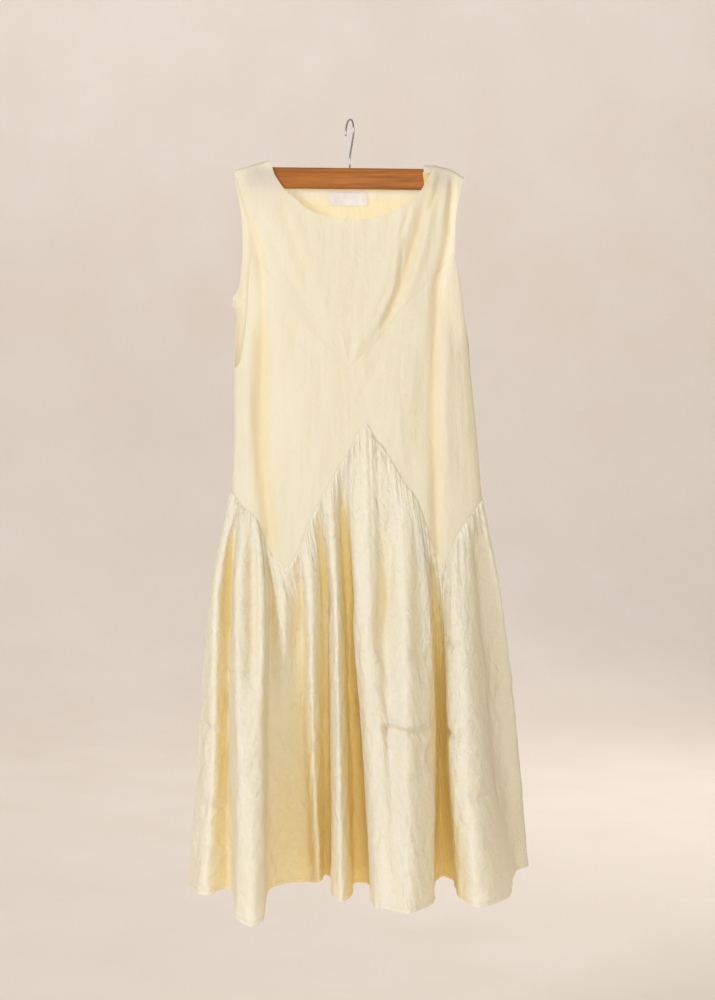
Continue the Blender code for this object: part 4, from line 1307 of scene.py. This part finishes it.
    def top_stitch(self, name: str, line: EdgeLine, inset: float, above: float) -> bpy.types.Object:
        """Top-stitching above a seam of the front, on its creased surface.

        Args:
            name: Name of the piece.
            line: The seam.
            inset: How far inside the seam's ends the stitches stop.
            above: Distance above the seam.

        Returns:
            The object.
        """
        x = np.linspace(line.rows[0][0] + inset, line.rows[-1][0] - inset, TOP_STITCH_POINTS)
        drop = line.drop_at(x) - above
        spots = []
        for right, down in ((0.0, 0.0), (0.5, 0.0), (0.0, 0.5)):
            spot = FORM.place(FORM.turn_of(x + right, drop + down), drop + down, Side.FRONT)
            spot[:, 1] -= self.pressed(spot)
            spots.append(spot)
        here, beside, below = spots
        out = np.cross(below - here, beside - here)
        out = out / np.linalg.norm(out, axis=-1, keepdims=True)
        out = out * np.sign(-out[:, 1:2])
        return Stitching(name, self.thread).build(here + out * STITCH_LIFT, out)

    def build(self) -> None:
        """Builds the four pieces and the top-stitching of the two seams."""
        self.yoke()
        self.panel(True)
        self.panel(False)
        self.back()
        self.top_stitch("v_seam_stitches", EdgeLine(V_SEAM, (V_TIP,)), 3, self.v_stitch_height)
        self.top_stitch("zigzag_stitches", ZIGZAG, 5, self.zigzag_stitch_height)


@dataclass
class Skirt:
    """A gathered skirt panel, from the zigzag seam down to its narrow stitched hem."""

    name: str
    node: str
    side: Side
    # Folds, left to right: name, seam x, upper x and out, lower x and out, hem x, out and drop
    folds: tuple[tuple, ...]
    material: bpy.types.Material
    thread: bpy.types.Material
    seed: int
    flat: tuple[float, float]
    area: float
    creases: tuple[Crease, ...] = ()
    columns: int = 800
    # Rows: distances below the seam, number of even rows between, and distances above the hem
    seam_rows: tuple[float, ...] = (0, 0.9, 2.0, 3.4, 5.2, 7.4, 10, 13, 17, 21.5, 27, 33.5, 41)
    middle_rows: int = 84
    # Share of the way down round which the rows lie closer, for the pressed band there, and its reach
    close_rows_at: float = 0.585
    close_rows_reach: float = 0.06
    hem_rows: tuple[float, ...] = (14, 8.5, 7.0, 6.0, 5.0, 2.5, 0)
    rests_on: tuple[str, ...] = ("back_cloth",)
    # Gathers, fine to broad: pitch, height, how far they reach down
    gather_kinds: tuple[Row, ...] = ((6.2, 2.3, 16.0), (13.0, 2.6, 50.0), (29.0, 3.4, 125.0))
    # Share of the way down over which the shape of the seam itself runs out
    seam_fade: float = 0.22
    seam_depth: float = 1.2
    seam_reach: float = 2.6
    # Ripples: wave length across and down, height, drops below the seam from none to full, number of waves
    ripple_kinds: tuple[Row, ...] = (
        (70, 260, 0.9, 90, 310, 9), (34, 70, 0.81, 90, 310, 9), (19, 34, 0.54, 0, 60, 14),
    )
    # Turned hem: thickness that it adds, how far up it reaches, and its stitches' distance from the edge
    hem_height: float = 0.45
    hem_turn: float = 8.0
    hem_stitches: float = 6.0
    hem_groove: float = 0.8
    # Cloth that has eased out at the hem since it was cut
    hem_ease: float = 4.0
    # Painted shade in the valleys, from how much of the open half circle the folds beside a place take: where
    # the painted yellow starts, and where it is full
    painted_shade_start: float = 0.31
    painted_shade_end: float = 1.0
    # Nearer than this a fold is the cloth's own small ripple
    painted_shade_nearest: float = 2.5
    # Length over which everything on the form fades at the side seams
    side_fade: float = 6.0
    # Crumpled patches: x, drop, reach across, reach down, height
    crumples: tuple[Row, ...] = ()

    def across(self, stations: np.ndarray, at: np.ndarray) -> np.ndarray:
        """Places on a smooth curve through the stations.

        Args:
            stations: Place of each station.
            at: Where to read, counted in stations.

        Returns:
            The place at each of them.
        """
        first, last = 2 * stations[0] - stations[1], 2 * stations[-1] - stations[-2]
        points = np.vstack([first, stations, last])
        knots = np.concatenate(([0.0], np.cumsum(np.linalg.norm(np.diff(points, axis=0), axis=1) ** 0.5)))
        index = np.clip(at.astype(int), 0, len(stations) - 2) + 1
        t0, t1, t2, t3 = (knots[index + step][:, None] for step in (-1, 0, 1, 2))
        p0, p1, p2, p3 = (points[index + step] for step in (-1, 0, 1, 2))
        t = t1 + (at - index + 1)[:, None] * (t2 - t1)
        a1 = (t1 - t) / (t1 - t0) * p0 + (t - t0) / (t1 - t0) * p1
        a2 = (t2 - t) / (t2 - t1) * p1 + (t - t1) / (t2 - t1) * p2
        a3 = (t3 - t) / (t3 - t2) * p2 + (t - t2) / (t3 - t2) * p3
        b1 = (t2 - t) / (t2 - t0) * a1 + (t - t0) / (t2 - t0) * a2
        b2 = (t3 - t) / (t3 - t1) * a2 + (t - t1) / (t3 - t1) * a3
        return (t2 - t) / (t2 - t1) * b1 + (t - t1) / (t2 - t1) * b2

    def column_places(self) -> np.ndarray:
        """Where the columns stand, shared between even steps at the seam and at the hem.

        Returns:
            The place of each column, counted in stations.
        """
        _, seam_x, _, _, _, _, hem_x, hem_out, _ = zip(*self.folds)
        seam = length_along(np.stack([seam_x, ZIGZAG.drop_at(np.array(seam_x))], axis=-1))
        hem = length_along(np.stack([hem_x, hem_out], axis=-1))
        both = 0.5 * seam / seam[-1] + 0.5 * hem / hem[-1]
        return np.interp(np.linspace(0, 1, self.columns + 1), both, np.arange(len(self.folds)))

    def distances(self, station_drop: np.ndarray, hem_drop: np.ndarray) -> np.ndarray:
        """Drops of the rows: close under the seam, at the pressed band and above the hem.

        Args:
            station_drop: Drop of the seam at each station.
            hem_drop: Drop of the hem at each station.

        Returns:
            Drop of each row at each station.
        """
        length = hem_drop - station_drop
        upper = np.array(self.seam_rows)[:, None] + 0 * length
        lower = length - np.array(self.hem_rows)[:, None]
        even = np.linspace(0, 1, 400)
        nearness = (even - self.close_rows_at) / self.close_rows_reach
        closeness = np.cumsum(1 + np.exp(-(nearness**2)))
        share = np.interp(np.linspace(0, 1, self.middle_rows + 2), spread(closeness), even)[1:-1, None]
        middle = (1 - share) * upper[-1] + share * lower[0]
        return station_drop + np.vstack([upper, middle, lower])

    def form(self) -> tuple[np.ndarray, np.ndarray, np.ndarray]:
        """The hanging form without gathers.

        Returns:
            Grid of places, distance below the seam of each, and length along the seam of each column.
        """
        columns = np.array([fold[1:] for fold in self.folds], float).T
        seam_x, upper_x, upper_out, lower_x, lower_out, hem_x, hem_out, hem_drop = columns
        at = self.column_places()
        column_x = np.interp(at, np.arange(len(seam_x)), seam_x)
        column_drop = ZIGZAG.drop_at(column_x)
        seam = FORM.place(FORM.turn_of(column_x, column_drop), column_drop, self.side)
        station_drop = ZIGZAG.drop_at(seam_x)
        station_seam = FORM.place(FORM.turn_of(seam_x, station_drop), station_drop, self.side)
        hem_drop = hem_drop + self.hem_ease
        drops = self.distances(station_drop, hem_drop)
        xs, outs = np.zeros(drops.shape), np.zeros(drops.shape)
        for index in range(len(seam_x)):
            keys = (station_drop[index], UPPER_LEVEL_DROP, LOWER_LEVEL_DROP, hem_drop[index])
            x = (station_seam[index, 0], upper_x[index], lower_x[index], hem_x[index])
            seam_out = self.side.value * station_seam[index, 1]
            out = (seam_out, upper_out[index], lower_out[index], hem_out[index])
            xs[:, index] = smooth(keys, x, drops[:, index])
            outs[:, index] = smooth(keys, out, drops[:, index])
        levels = np.stack([xs, self.side.value * outs, -drops], axis=-1)
        grid = np.array([self.across(level, at) for level in levels])
        down = grid[0, None, :, 2] - grid[..., 2]
        fade = np.clip(1 - down / (down[-1] * self.seam_fade), 0, 1)[..., None] ** 2
        grid = grid + (seam - grid[0]) * fade
        return grid, down, length_along(seam)

    def gathers(self, down: np.ndarray, along: np.ndarray) -> np.ndarray:
        """Height of the gathers: uneven small ridges that start at the seam and run out downwards.

        Args:
            down: Distance below the seam of each place.
            along: Length along the seam of each column.

        Returns:
            The height at each place.
        """
        rng = np.random.default_rng(self.seed)
        total = np.zeros(down.shape)
        for typical_pitch, typical_height, typical_reach in self.gather_kinds:
            centre = typical_pitch / 2
            while centre < along[-1] - 2:
                pitch = typical_pitch * float(np.exp(rng.normal(0, 0.25)))
                height = typical_height * rng.uniform(0.5, 1.3) * min(1.0, pitch / typical_pitch + 0.2)
                reach = typical_reach * float(np.exp(rng.normal(0, 0.5)))
                near = np.abs(along - centre) < 1.5 * pitch
                across = along[near] - centre
                under = down[:, near]
                profile = np.minimum(1.0, 0.3 + under / typical_pitch) * np.exp(-under / reach)
                total[:, near] += height * np.exp(-((across / (0.33 * pitch)) ** 2)) * profile
                centre += pitch
        return total

    def crumple(self, x: np.ndarray, drop: np.ndarray) -> np.ndarray:
        """Height of the crumpled patches.

        Args:
            x: Places across.
            drop: Places down.

        Returns:
            The height at each place.
        """
        total = np.zeros(x.shape)
        for at_x, at_drop, across, down, height in self.crumples:
            reach = np.exp(-(((x - at_x) / across) ** 2) - ((drop - at_drop) / down) ** 2)
            total += height * reach * waves(x, drop, self.seed + 9, 13, 16, 12)
        return total

    def painted_valley_shade(self, grid: np.ndarray) -> np.ndarray:
        """Painted shade of each place, by how closed in it is by the folds beside it: 0 on a crest, 1 at the
        bottom of a slit.

        Args:
            grid: Grid of places.

        Returns:
            The share at each place.
        """
        depth = np.zeros(grid.shape[:2])
        for row, (x, out) in enumerate(zip(grid[..., 0], self.side.value * grid[..., 1])):
            across, rise = x[None, :] - x[:, None], out[None, :] - out[:, None]
            reach = np.maximum(np.abs(across), self.painted_shade_nearest)
            slope = np.where(np.abs(across) < self.painted_shade_nearest, 0.0, rise / reach)
            left = np.where(across < 0, slope, 0.0).max(axis=1)
            right = np.where(across > 0, slope, 0.0).max(axis=1)
            depth[row] = np.sqrt(np.arctan(left) * np.arctan(right)) * 2 / math.pi
        return ease((depth - self.painted_shade_start) / (self.painted_shade_end - self.painted_shade_start))

    def build(self) -> bpy.types.Object:
        """Builds the skirt panel and the stitches of its hem.

        Returns:
            The skirt panel.
        """
        grid, down, along = self.form()
        step = np.gradient(grid[..., :2], axis=1)
        spacing = np.linalg.norm(step, axis=-1, keepdims=True)
        outwards = np.stack([-step[..., 1], step[..., 0]], axis=-1) / spacing * self.side.value
        x, drop, out = grid[..., 0], -grid[..., 2], self.side.value * grid[..., 1]
        far = length_along(grid[-1])
        height = self.gathers(down, along) + self.crumple(x, drop) + self.hem(down, far)
        for index, (across, length, size, start, full, count) in enumerate(self.ripple_kinds, 1):
            ripple = waves(far, down, self.seed + index, across, length, int(count))
            height += size * ease((down - start) / (full - start)) * ripple
        for crease in self.creases:
            height += crease.press(x, drop, out)
        ends = ease(np.minimum(far, far[-1] - far) / self.side_fade)
        grid[..., :2] += outwards * (height * ends)[..., None]
        seam = np.exp(-((down / self.seam_reach) ** 2))
        grid[..., 1] -= self.side.value * self.seam_depth * seam * ends
        # Painted shade in the valleys between the folds, kept on the sheet
        thing = Cloth(self.name, (self.node,), self.material).add(
            grid, halved_after=len(self.seam_rows) - 1, painted_shade=self.painted_valley_shade(grid)
        )
        row = self.hem_rows.index(self.hem_stitches) - len(self.hem_rows)
        out = np.concatenate([outwards[row], np.zeros((len(far), 1))], axis=-1)
        line = grid[row] + out * STITCH_LIFT
        Stitching(f"{self.name}_hem_stitches", self.thread).build(line[2:-2], out[2:-2])
        return thing

    def hem(self, down: np.ndarray, far: np.ndarray) -> np.ndarray:
        """Height that the turned hem adds: a puckered band with a groove along its stitches.

        Args:
            down: Distance below the seam of each place.
            far: Length along the hem of each column.

        Returns:
            The height at each place.
        """
        above = down[-1] - down
        puckers = 1 + 0.8 * waves(far, down * 0, self.seed + 4, 9, 30)
        groove = np.exp(-(((above - self.hem_stitches) / self.hem_groove) ** 2))
        return self.hem_height * (ease(self.hem_turn - above) - groove) * puckers


FRONT_CREASES = (
    Crease("crescent", ((97, 815), (113, 838), (130, 826)), 7, -5.0, 30),
    Crease("pressed_roll", ((50, 933), (88, 937), (126, 938)), 6.5, 6.2, 30, True),
    Crease("under_roll", ((108, 936), (112, 965), (104, 1000)), 8, -3.0, 30),
    Crease("right_notch", ((128, 955), (122, 985), (127, 1010)), 6, -4.4, 20),
    Crease("left_nick", ((37, 913), (40, 925), (44, 940)), 6, -4.2, 20),
    Crease("low_crease", ((84, 1020), (104, 1012), (122, 1000)), 8, -4.0, 30),
    Crease("low_ridge", ((60, 1050), (70, 1090), (66, 1130)), 12, 2.2, 30),
    Crease("tube_3_hollow", ((52, 640), (58, 700), (50, 780)), 11, -3.0, 20),
    Crease("tube_4_pinch_upper", ((142, 806), (158, 818), (176, 806)), 6, -5.0, 20),
    Crease("tube_4_pinch_middle", ((146, 946), (160, 957), (176, 950)), 6, -4.8, 20),
    Crease("tube_4_pinch_lower", ((176, 1040), (200, 1046), (226, 1032)), 8, -4.4, 20),
    Crease("tube_4_ridge", ((168, 860), (180, 900), (176, 940)), 12, 2.0, 30),
    Crease("tube_4_foot", ((204, 1105), (220, 1120), (230, 1100)), 8, -2.4, 20),
    Crease("left_panel_crease", ((-232, 940), (-218, 952), (-204, 946)), 8, -4.2),
    Crease("left_panel_low", ((-240, 1062), (-224, 1074), (-204, 1060)), 9, -4.2),
    Crease("tube_1_crease", ((-168, 1000), (-156, 1008), (-142, 1000)), 8, -3.0, 40),
    Crease("seam_dimple", ((42, 508), (44, 520), (40, 534)), 6, -2.6),
    Crease("tube_3_long_trough", ((72, 560), (58, 690), (42, 870)), 11, -7.5),
    Crease("tube_3_right_ridge", ((90, 590), (90, 700), (86, 850)), 10, 3.0),
    Crease("tube_3_left_ridge", ((24, 490), (26, 640), (24, 800)), 12, 2.5),
    Crease("valley_5_start", ((-15, 552), (-5, 680), (3, 800)), 6, -7.0),
    Crease("tube_2_start", ((-30, 565), (-27, 640), (-22, 740)), 5, 3.0),
    Crease("valley_4_start", ((-47, 600), (-41, 690), (-36, 790)), 6, -6.0),
    Crease("soft_ridge_start", ((-64, 640), (-62, 700), (-58, 790)), 8, 2.5),
    Crease("beside_tooth", ((-77, 668), (-78, 730), (-78, 820)), 5, -4.0),
    Crease("tube_1_middle", ((-153, 636), (-152, 730), (-150, 900)), 7, -6.5, 10),
    Crease("tube_1_narrow_ridge", ((-142, 650), (-138, 730), (-136, 880)), 4.5, 2.8, 10),
    Crease("valley_2_start", ((-184, 612), (-189, 720), (-193, 840)), 7, -5.5),
    Crease("valley_7_start", ((126, 664), (134, 730), (138, 800)), 6, -5.0),
    Crease("tube_4_right_trough", ((194, 622), (204, 720), (217, 870)), 8, -6.0),
    Crease("tube_4_left_fold", ((160, 672), (163, 730), (160, 800)), 5, 3.0),
)

# Crumpled patches beside the apex and at the tooth on the right: x, drop, reach across and down, height
FRONT_CRUMPLES = ((46, 506, 22, 24, 2.2), (118, 640, 16, 30, 1.0), (172, 660, 16, 24, 1.0))

BACK_CREASES = (
    Crease("pressed_line", ((-150, 960), (-60, 968), (40, 962)), 7, 2.6, 30, True),
    Crease("left_crescent", ((-150, 860), (-132, 884), (-112, 872)), 8, -3.0),
    Crease("right_crescent", ((120, 900), (140, 922), (158, 908)), 8, -3.0),
    Crease("low_crease", ((20, 1060), (52, 1074), (84, 1062)), 9, -2.6),
    Crease("right_pinch", ((196, 1020), (214, 1032), (232, 1018)), 7, -2.6),
)


@dataclass
class Stitching:
    """A row of short thread dashes along a line of cloth, as top-stitching shows."""

    name: str
    material: bpy.types.Material
    stitch: float = 2.6
    pitch: float = 3.4
    thread: float = 0.42
    lift: float = 0.6
    sides: int = 5
    # Rings of a stitch: share along it, size, height over the cloth
    rings: tuple[Row, ...] = ((0.0, 0.35, -0.25), (0.22, 1.0, 0.15), (0.78, 1.0, 0.15), (1.0, 0.35, -0.25))

    def build(self, line: np.ndarray, outwards: np.ndarray) -> bpy.types.Object:
        """Builds the dashes.

        Args:
            line: Places along the line, on the surface of the cloth, in millimetres.
            outwards: Outward direction of length 1 at each of them.

        Returns:
            The object.
        """
        length = length_along(line)
        starts = np.arange(0.5, length[-1] - self.stitch, self.pitch)
        shape = bmesh.new()
        for start in starts:
            rings = []
            for share, size, height in self.rings:
                at = start + share * self.stitch
                place = np.array([np.interp(at, length, line[:, axis]) for axis in range(3)])
                ahead = np.array([np.interp(at + 0.5, length, line[:, axis]) for axis in range(3)]) - place
                out = np.array([np.interp(at, length, outwards[:, axis]) for axis in range(3)])
                aside = np.cross(ahead / np.linalg.norm(ahead), out)
                middle = place + out * height * self.lift
                ring = []
                for side in range(self.sides):
                    turn = 2 * math.pi * side / self.sides
                    reach = aside * math.cos(turn) + out * math.sin(turn)
                    ring.append(shape.verts.new((middle + reach * self.thread / 2 * size) * MM))
                rings.append(ring)
            for low, high in zip(rings, rings[1:]):
                for side in range(self.sides):
                    after = (side + 1) % self.sides
                    shape.faces.new((low[side], low[after], high[after], high[side]))
            shape.faces.new(rings[0][::-1])
            shape.faces.new(rings[-1])
        bmesh.ops.recalc_face_normals(shape, faces=shape.faces)
        mesh = bpy.data.meshes.new(self.name)
        shape.to_mesh(mesh)
        shape.free()
        mesh.shade_smooth()
        thing = bpy.data.objects.new(self.name, mesh)
        bpy.context.scene.collection.objects.link(thing)
        mesh.materials.append(self.material)
        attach(thing, BODY)
        LOG.info("%s: %d stitches", self.name, len(starts))
        return thing


@dataclass
class StrapTurn:
    """End of the neck facing that lies folded over the bar, beside the strap on the right."""

    material: bpy.types.Material
    left: float = 114.5
    right: float = 133.0
    # Fold seen from the side, from behind the bar over its top to the front: out, drop
    path: tuple[Row, ...] = (
        (-9.2, 104), (-9.0, 92), (-8.6, 80), (-6.0, 72.4), (-1.0, 69.6), (5.0, 70.0), (9.4, 73.6),
        (10.6, 78.4), (10.2, 81.6), (8.4, 82.6), (7.7, 84.4), (7.6, 90), (7.9, 98), (8.2, 106),
        (8.6, 110.5),
    )
    tuck_drop: float = 82.0
    ripple_height: float = 0.45
    # Painted shade of the cloth under the tuck: share of the golden tint
    shade: float = 0.85
    columns: int = 22
    rows: int = 60

    def build(self) -> bpy.types.Object:
        """Builds the folded end.

        Returns:
            The object.
        """
        path = np.array(self.path, float)
        length = length_along(path)
        at = np.linspace(0, length[-1], self.rows + 1)
        out, drop = smooth(length, path[:, 0], at)[:, None], smooth(length, path[:, 1], at)[:, None]
        share = np.linspace(0, 1, self.columns + 1)[None, :]
        edge = self.left + 1.1 * np.sin(drop / 7.0) + 1.5 * (drop < self.tuck_drop)
        x = edge + (self.right - edge) * share
        ripple = self.ripple_height * waves(x, drop, 61, 9, 16)
        ripple = ripple - 0.7 * ease(share * 2 - 0.6) * (drop > self.tuck_drop)
        places = np.stack([x, -(out + np.sign(out) * ripple), -(drop + 1.6 * share + 0.3 * ripple)], axis=-1)
        # Painted shade on the cloth under the tuck
        painted_tuck_shade = self.shade * ease((drop - self.tuck_drop - 0.5) / 2) * (out > 0) + 0 * x
        thing = Cloth("strap_turn", (), self.material).add(places, painted_shade=painted_tuck_shade)
        return thing


@dataclass
class NeckLabel:
    """Bare satin label on the inside of the back, sewn down along its short ends."""

    material: bpy.types.Material
    # Left, right, upper and lower edge
    box: tuple[float, float, float, float] = (-34.0, 28.0, 110.0, 131.0)
    columns: int = 48
    rows: int = 18
    clearance: float = 1.0
    # How far it bows out and sags between its ends
    bow_out: float = 0.9
    bow_down: float = 0.6
    ripple_height: float = 0.15

    def build(self) -> bpy.types.Object:
        """Builds the label with a slight bow between its sewn ends.

        Returns:
            The object.
        """
        left, right, upper, lower = self.box
        across, down = np.linspace(left, right, self.columns + 1), np.linspace(upper, lower, self.rows + 1)
        x, drop = np.meshgrid(across, down)
        places = FORM.place(FORM.turn_of(x, drop), drop, Side.BACK)
        share = (x - left) / (right - left)
        bow = np.sin(math.pi * share) * (0.5 + 0.5 * (drop - upper) / (lower - upper))
        ripple = self.ripple_height * waves(x, drop, 21, 18, 30)
        places[..., 1] -= self.clearance + self.bow_out * bow + ripple
        places[..., 2] -= self.bow_down * bow
        thing = Cloth("label_ribbon", ("neck_label",), self.material, "label_satin", 0.35).add(places)
        return thing


@dataclass
class Hanger:
    """Flat wooden bar with rounded edges and a wire hook screwed in from above."""

    wood: bpy.types.Material
    steel: bpy.types.Material
    length: float = 314.0
    height: float = 32.4
    thickness: float = 12.0
    centre_x: float = -3.0
    centre_drop: float = 90.3
    tilt_degrees: float = 0.65
    edge_radius: float = 3.0
    wire: float = 2.8
    hook_radius: float = 18.5
    twist_degrees: float = 20.0
    stem_end_drop: float = 90.0
    bend_drop: float = 56.0
    bend_length: float = 6.0
    tip_degrees: float = 195.0

    def bar(self) -> bpy.types.Object:
        """Bar with rounded edges, a little tilted as it hangs.

        Returns:
            The object.
        """
        deselect()
        bpy.ops.mesh.primitive_cube_add(size=1.0, location=(0, 0, 0))
        bar = bpy.context.object
        bar.name = bar.data.name = "wooden_bar"
        bar.scale = (self.length * MM, self.thickness * MM, self.height * MM)
        bpy.ops.object.transform_apply(location=False, rotation=False, scale=True)
        bevel = bar.modifiers.new("rounded edges", "BEVEL")
        bevel.width = self.edge_radius * MM
        bevel.segments = 5
        apply_modifiers(bar)
        bar.rotation_euler = (0.0, math.radians(self.tilt_degrees), 0.0)
        bar.location = (self.centre_x * MM, 0.0, -self.centre_drop * MM)
        bpy.ops.object.transform_apply(location=True, rotation=True, scale=True)
        bpy.ops.object.shade_smooth_by_angle(angle=math.radians(35))
        bar.data.materials.append(self.wood)
        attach(bar, BODY)
        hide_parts("hanger_bar")
        LOG.info("wooden_bar: %d faces", len(bar.data.polygons))
        return bar

    def hook_points(self) -> list[tuple[float, float, float]]:
        """Centreline of the hook: straight stem, slanted run and arc over the rail.

        Returns:
            The points in metres.
        """
        centre_drop = self.hook_radius - self.wire / 2
        lean = math.asin(self.hook_radius / (self.bend_drop - centre_drop))
        run = (self.bend_drop - centre_drop) * math.cos(lean)
        slant = np.array([math.sin(lean), -math.cos(lean)])
        bend = np.array([0.0, self.bend_drop])
        points = [(0.0, self.stem_end_drop), (0.0, self.bend_drop + self.bend_length + 2)]
        for share in np.linspace(0, 1, 9):
            before = bend + (0.0, self.bend_length * (1 - share))
            after = bend + slant * self.bend_length * share
            points.append(tuple((1 - share) * before + share * after))
        points.append(tuple(bend + slant * run * 0.6))
        for angle in np.linspace(-lean, math.radians(self.tip_degrees), 40):
            aside, up = self.hook_radius * math.cos(angle), self.hook_radius * math.sin(angle)
            points.append((aside, centre_drop - up))
        twist = math.radians(self.twist_degrees)
        return [(a * math.sin(twist) * MM, -a * math.cos(twist) * MM, -drop * MM) for a, drop in points]

    def hook(self) -> bpy.types.Object:
        """Round wire hook with closed ends.

        Returns:
            The object.
        """
        curve = bpy.data.curves.new("wire_hook", "CURVE")
        curve.dimensions = "3D"
        curve.bevel_depth = self.wire / 2 * MM
        curve.bevel_resolution = 4
        curve.use_fill_caps = True
        points = self.hook_points()
        spline = curve.splines.new("POLY")
        spline.points.add(len(points) - 1)
        for target, place in zip(spline.points, points):
            target.co = (*place, 1.0)
        hook = bpy.data.objects.new("wire_hook", curve)
        bpy.context.scene.collection.objects.link(hook)
        make_active(hook)
        bpy.ops.object.convert(target="MESH")
        hook = bpy.context.object
        weld = hook.modifiers.new("weld", "WELD")
        weld.merge_threshold = 0.00001
        apply_modifiers(hook)
        hook.data.shade_smooth()
        hook.data.materials.append(self.steel)
        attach(hook, BODY)
        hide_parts("hanger_hook")
        LOG.info("wire_hook: %d faces", len(hook.data.polygons))
        return hook

    def build(self) -> None:
        """Builds the bar and the hook."""
        self.bar()
        self.hook()


def look_along(direction: np.ndarray) -> tuple[float, float, float]:
    """Turn of a camera or light that looks along a direction, with its top upwards."""
    x, y, z = direction / np.linalg.norm(direction)
    return (math.pi / 2 + math.asin(z), 0.0, math.atan2(-x, y))


@dataclass(frozen=True)
class SoftLight:
    """A square soft light: its place, what it points at, its side in metres, its power and its colour."""

    name: str
    place: tuple[float, float, float]
    aim: tuple[float, float, float]
    size: float
    watts: float
    colour: str

    def build(self) -> None:
        """Builds the light."""
        data = bpy.data.lights.new(self.name, "AREA")
        data.size = self.size
        data.energy = self.watts
        data.color = linear(self.colour)[:3]
        lamp = bpy.data.objects.new(self.name, data)
        lamp.location = self.place
        lamp.rotation_euler = look_along(np.array(self.aim) - np.array(self.place))
        bpy.context.scene.collection.objects.link(lamp)


@dataclass
class Studio:
    """Plain backdrop and floor, soft lights and the camera."""

    material: bpy.types.Material
    lights: tuple[SoftLight, ...] = (
        SoftLight("key", (-2.2, -2.3, 0.4), (0, 0, -0.8), 0.8, 56, "#EEF4FF"),
        SoftLight("front", (0.4, -4.2, -0.2), (0, 0, -0.8), 1.2, 65, "#F8FBFF"),
        SoftLight("back", (1.9, 3.4, 0.9), (0, 0, -0.75), 1.6, 50, "#FFFCF4"),
        SoftLight("wall_left", (-1.8, 3.1, 2.2), (0, 5.6, -0.8), 1.5, 31, "#F4F8FF"),
        SoftLight("wall_right", (1.8, 3.1, 2.2), (0, 5.6, -0.8), 1.5, 22, "#F4F8FF"),
    )
    ambient: str = "#F5F0E7"
    ambient_strength: float = 0.54
    camera_place: tuple[float, float, float] = (0.012, -3.0, -0.41)
    aim: tuple[float, float, float] = (0.012, 0.0, -0.525)
    lens: float = 68.8
    shift_y: float = -0.0433
    floor_z: float = -1.7
    wall_y: float = 5.6
    wall_top: float = 3.0
    # How far the floor comes forward and the backdrop reaches to each side
    reach: float = 6.0
    sweep_radius: float = 1.6

    def backdrop(self) -> None:
        """Wall and floor in one sweep, bent from a plane."""
        deselect()
        bpy.ops.mesh.primitive_plane_add(size=1.0, location=(0, 0, 0))
        sweep = bpy.context.object
        sweep.name = sweep.data.name = "backdrop"
        radius = self.sweep_radius
        profile = [(-self.reach, self.floor_z), (self.wall_y - radius, self.floor_z)]
        for turn in np.radians(np.linspace(6, 90, 15)):
            back, up = radius * (1 - math.sin(turn)), radius * (1 - math.cos(turn))
            profile.append((self.wall_y - back, self.floor_z + up))
        profile.append((self.wall_y, self.wall_top))
        shape = bmesh.new()
        rows = [[shape.verts.new((x, y, z)) for x in (-self.reach, self.reach)] for y, z in profile]
        for low, high in zip(rows, rows[1:]):
            shape.faces.new((low[0], low[1], high[1], high[0]))
        shape.to_mesh(sweep.data)
        shape.free()
        sweep.data.shade_smooth()
        sweep.data.materials.append(self.material)

    def ambience(self) -> None:
        """Even light from all round."""
        world = bpy.data.worlds.new("studio")
        world.use_nodes = True
        background = world.node_tree.nodes["Background"]
        background.inputs["Color"].default_value = linear(self.ambient)
        background.inputs["Strength"].default_value = self.ambient_strength
        bpy.context.scene.world = world
        bpy.context.scene.view_settings.view_transform = "Standard"

    def camera(self) -> None:
        """Camera at the front, about 3 m away."""
        data = bpy.data.cameras.new("camera")
        data.lens = self.lens
        data.sensor_width = 36.0
        data.shift_y = self.shift_y
        data.clip_end = 50.0
        camera = bpy.data.objects.new("camera", data)
        camera.location = self.camera_place
        camera.rotation_euler = look_along(np.array(self.aim) - np.array(self.camera_place))
        bpy.context.scene.collection.objects.link(camera)
        bpy.context.scene.camera = camera

    def build(self) -> None:
        """Builds the stage."""
        self.backdrop()
        for light in self.lights:
            light.build()
        self.ambience()
        self.camera()


def main() -> None:
    """Builds the dress, its hanger and the studio."""
    logging.basicConfig(level=logging.INFO, format="%(name)s: %(message)s")
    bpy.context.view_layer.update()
    # The bodice's copy of the cotton is pressed flatter, and painted a shade darker than the skirt's as painted
    # shade
    pressed = CottonFinish("cotton_plain_weave_pressed_shaded", "#EFEDE7", "#EBE8DD", crumple=0.3).build()
    cotton = CottonFinish().build()
    satin = SatinFinish().build()
    thread = ThreadFinish().build()
    Bodice(pressed, thread).build()
    Skirt(
        "front_skirt_cloth", "front_skirt", Side.FRONT, FRONT_SKIRT_FOLDS, cotton, thread, seed=31,
        flat=(1.2, 0.78), area=0.68, rests_on=("panel_left_cloth", "panel_right_cloth"),
        creases=FRONT_CREASES, crumples=FRONT_CRUMPLES,
    ).build()
    Skirt(
        "back_skirt_cloth", "back_skirt", Side.BACK, BACK_SKIRT_FOLDS, cotton, thread, seed=47,
        flat=(0.95, 0.75), area=0.48, creases=BACK_CREASES, columns=720,
    ).build()
    StrapTurn(pressed).build()
    NeckLabel(satin).build()
    Hanger(BeechFinish().build(), WireFinish().build()).build()
    Studio(WallFinish().build()).build()
    bpy.context.view_layer.update()


if __name__ == "__main__":
    main()
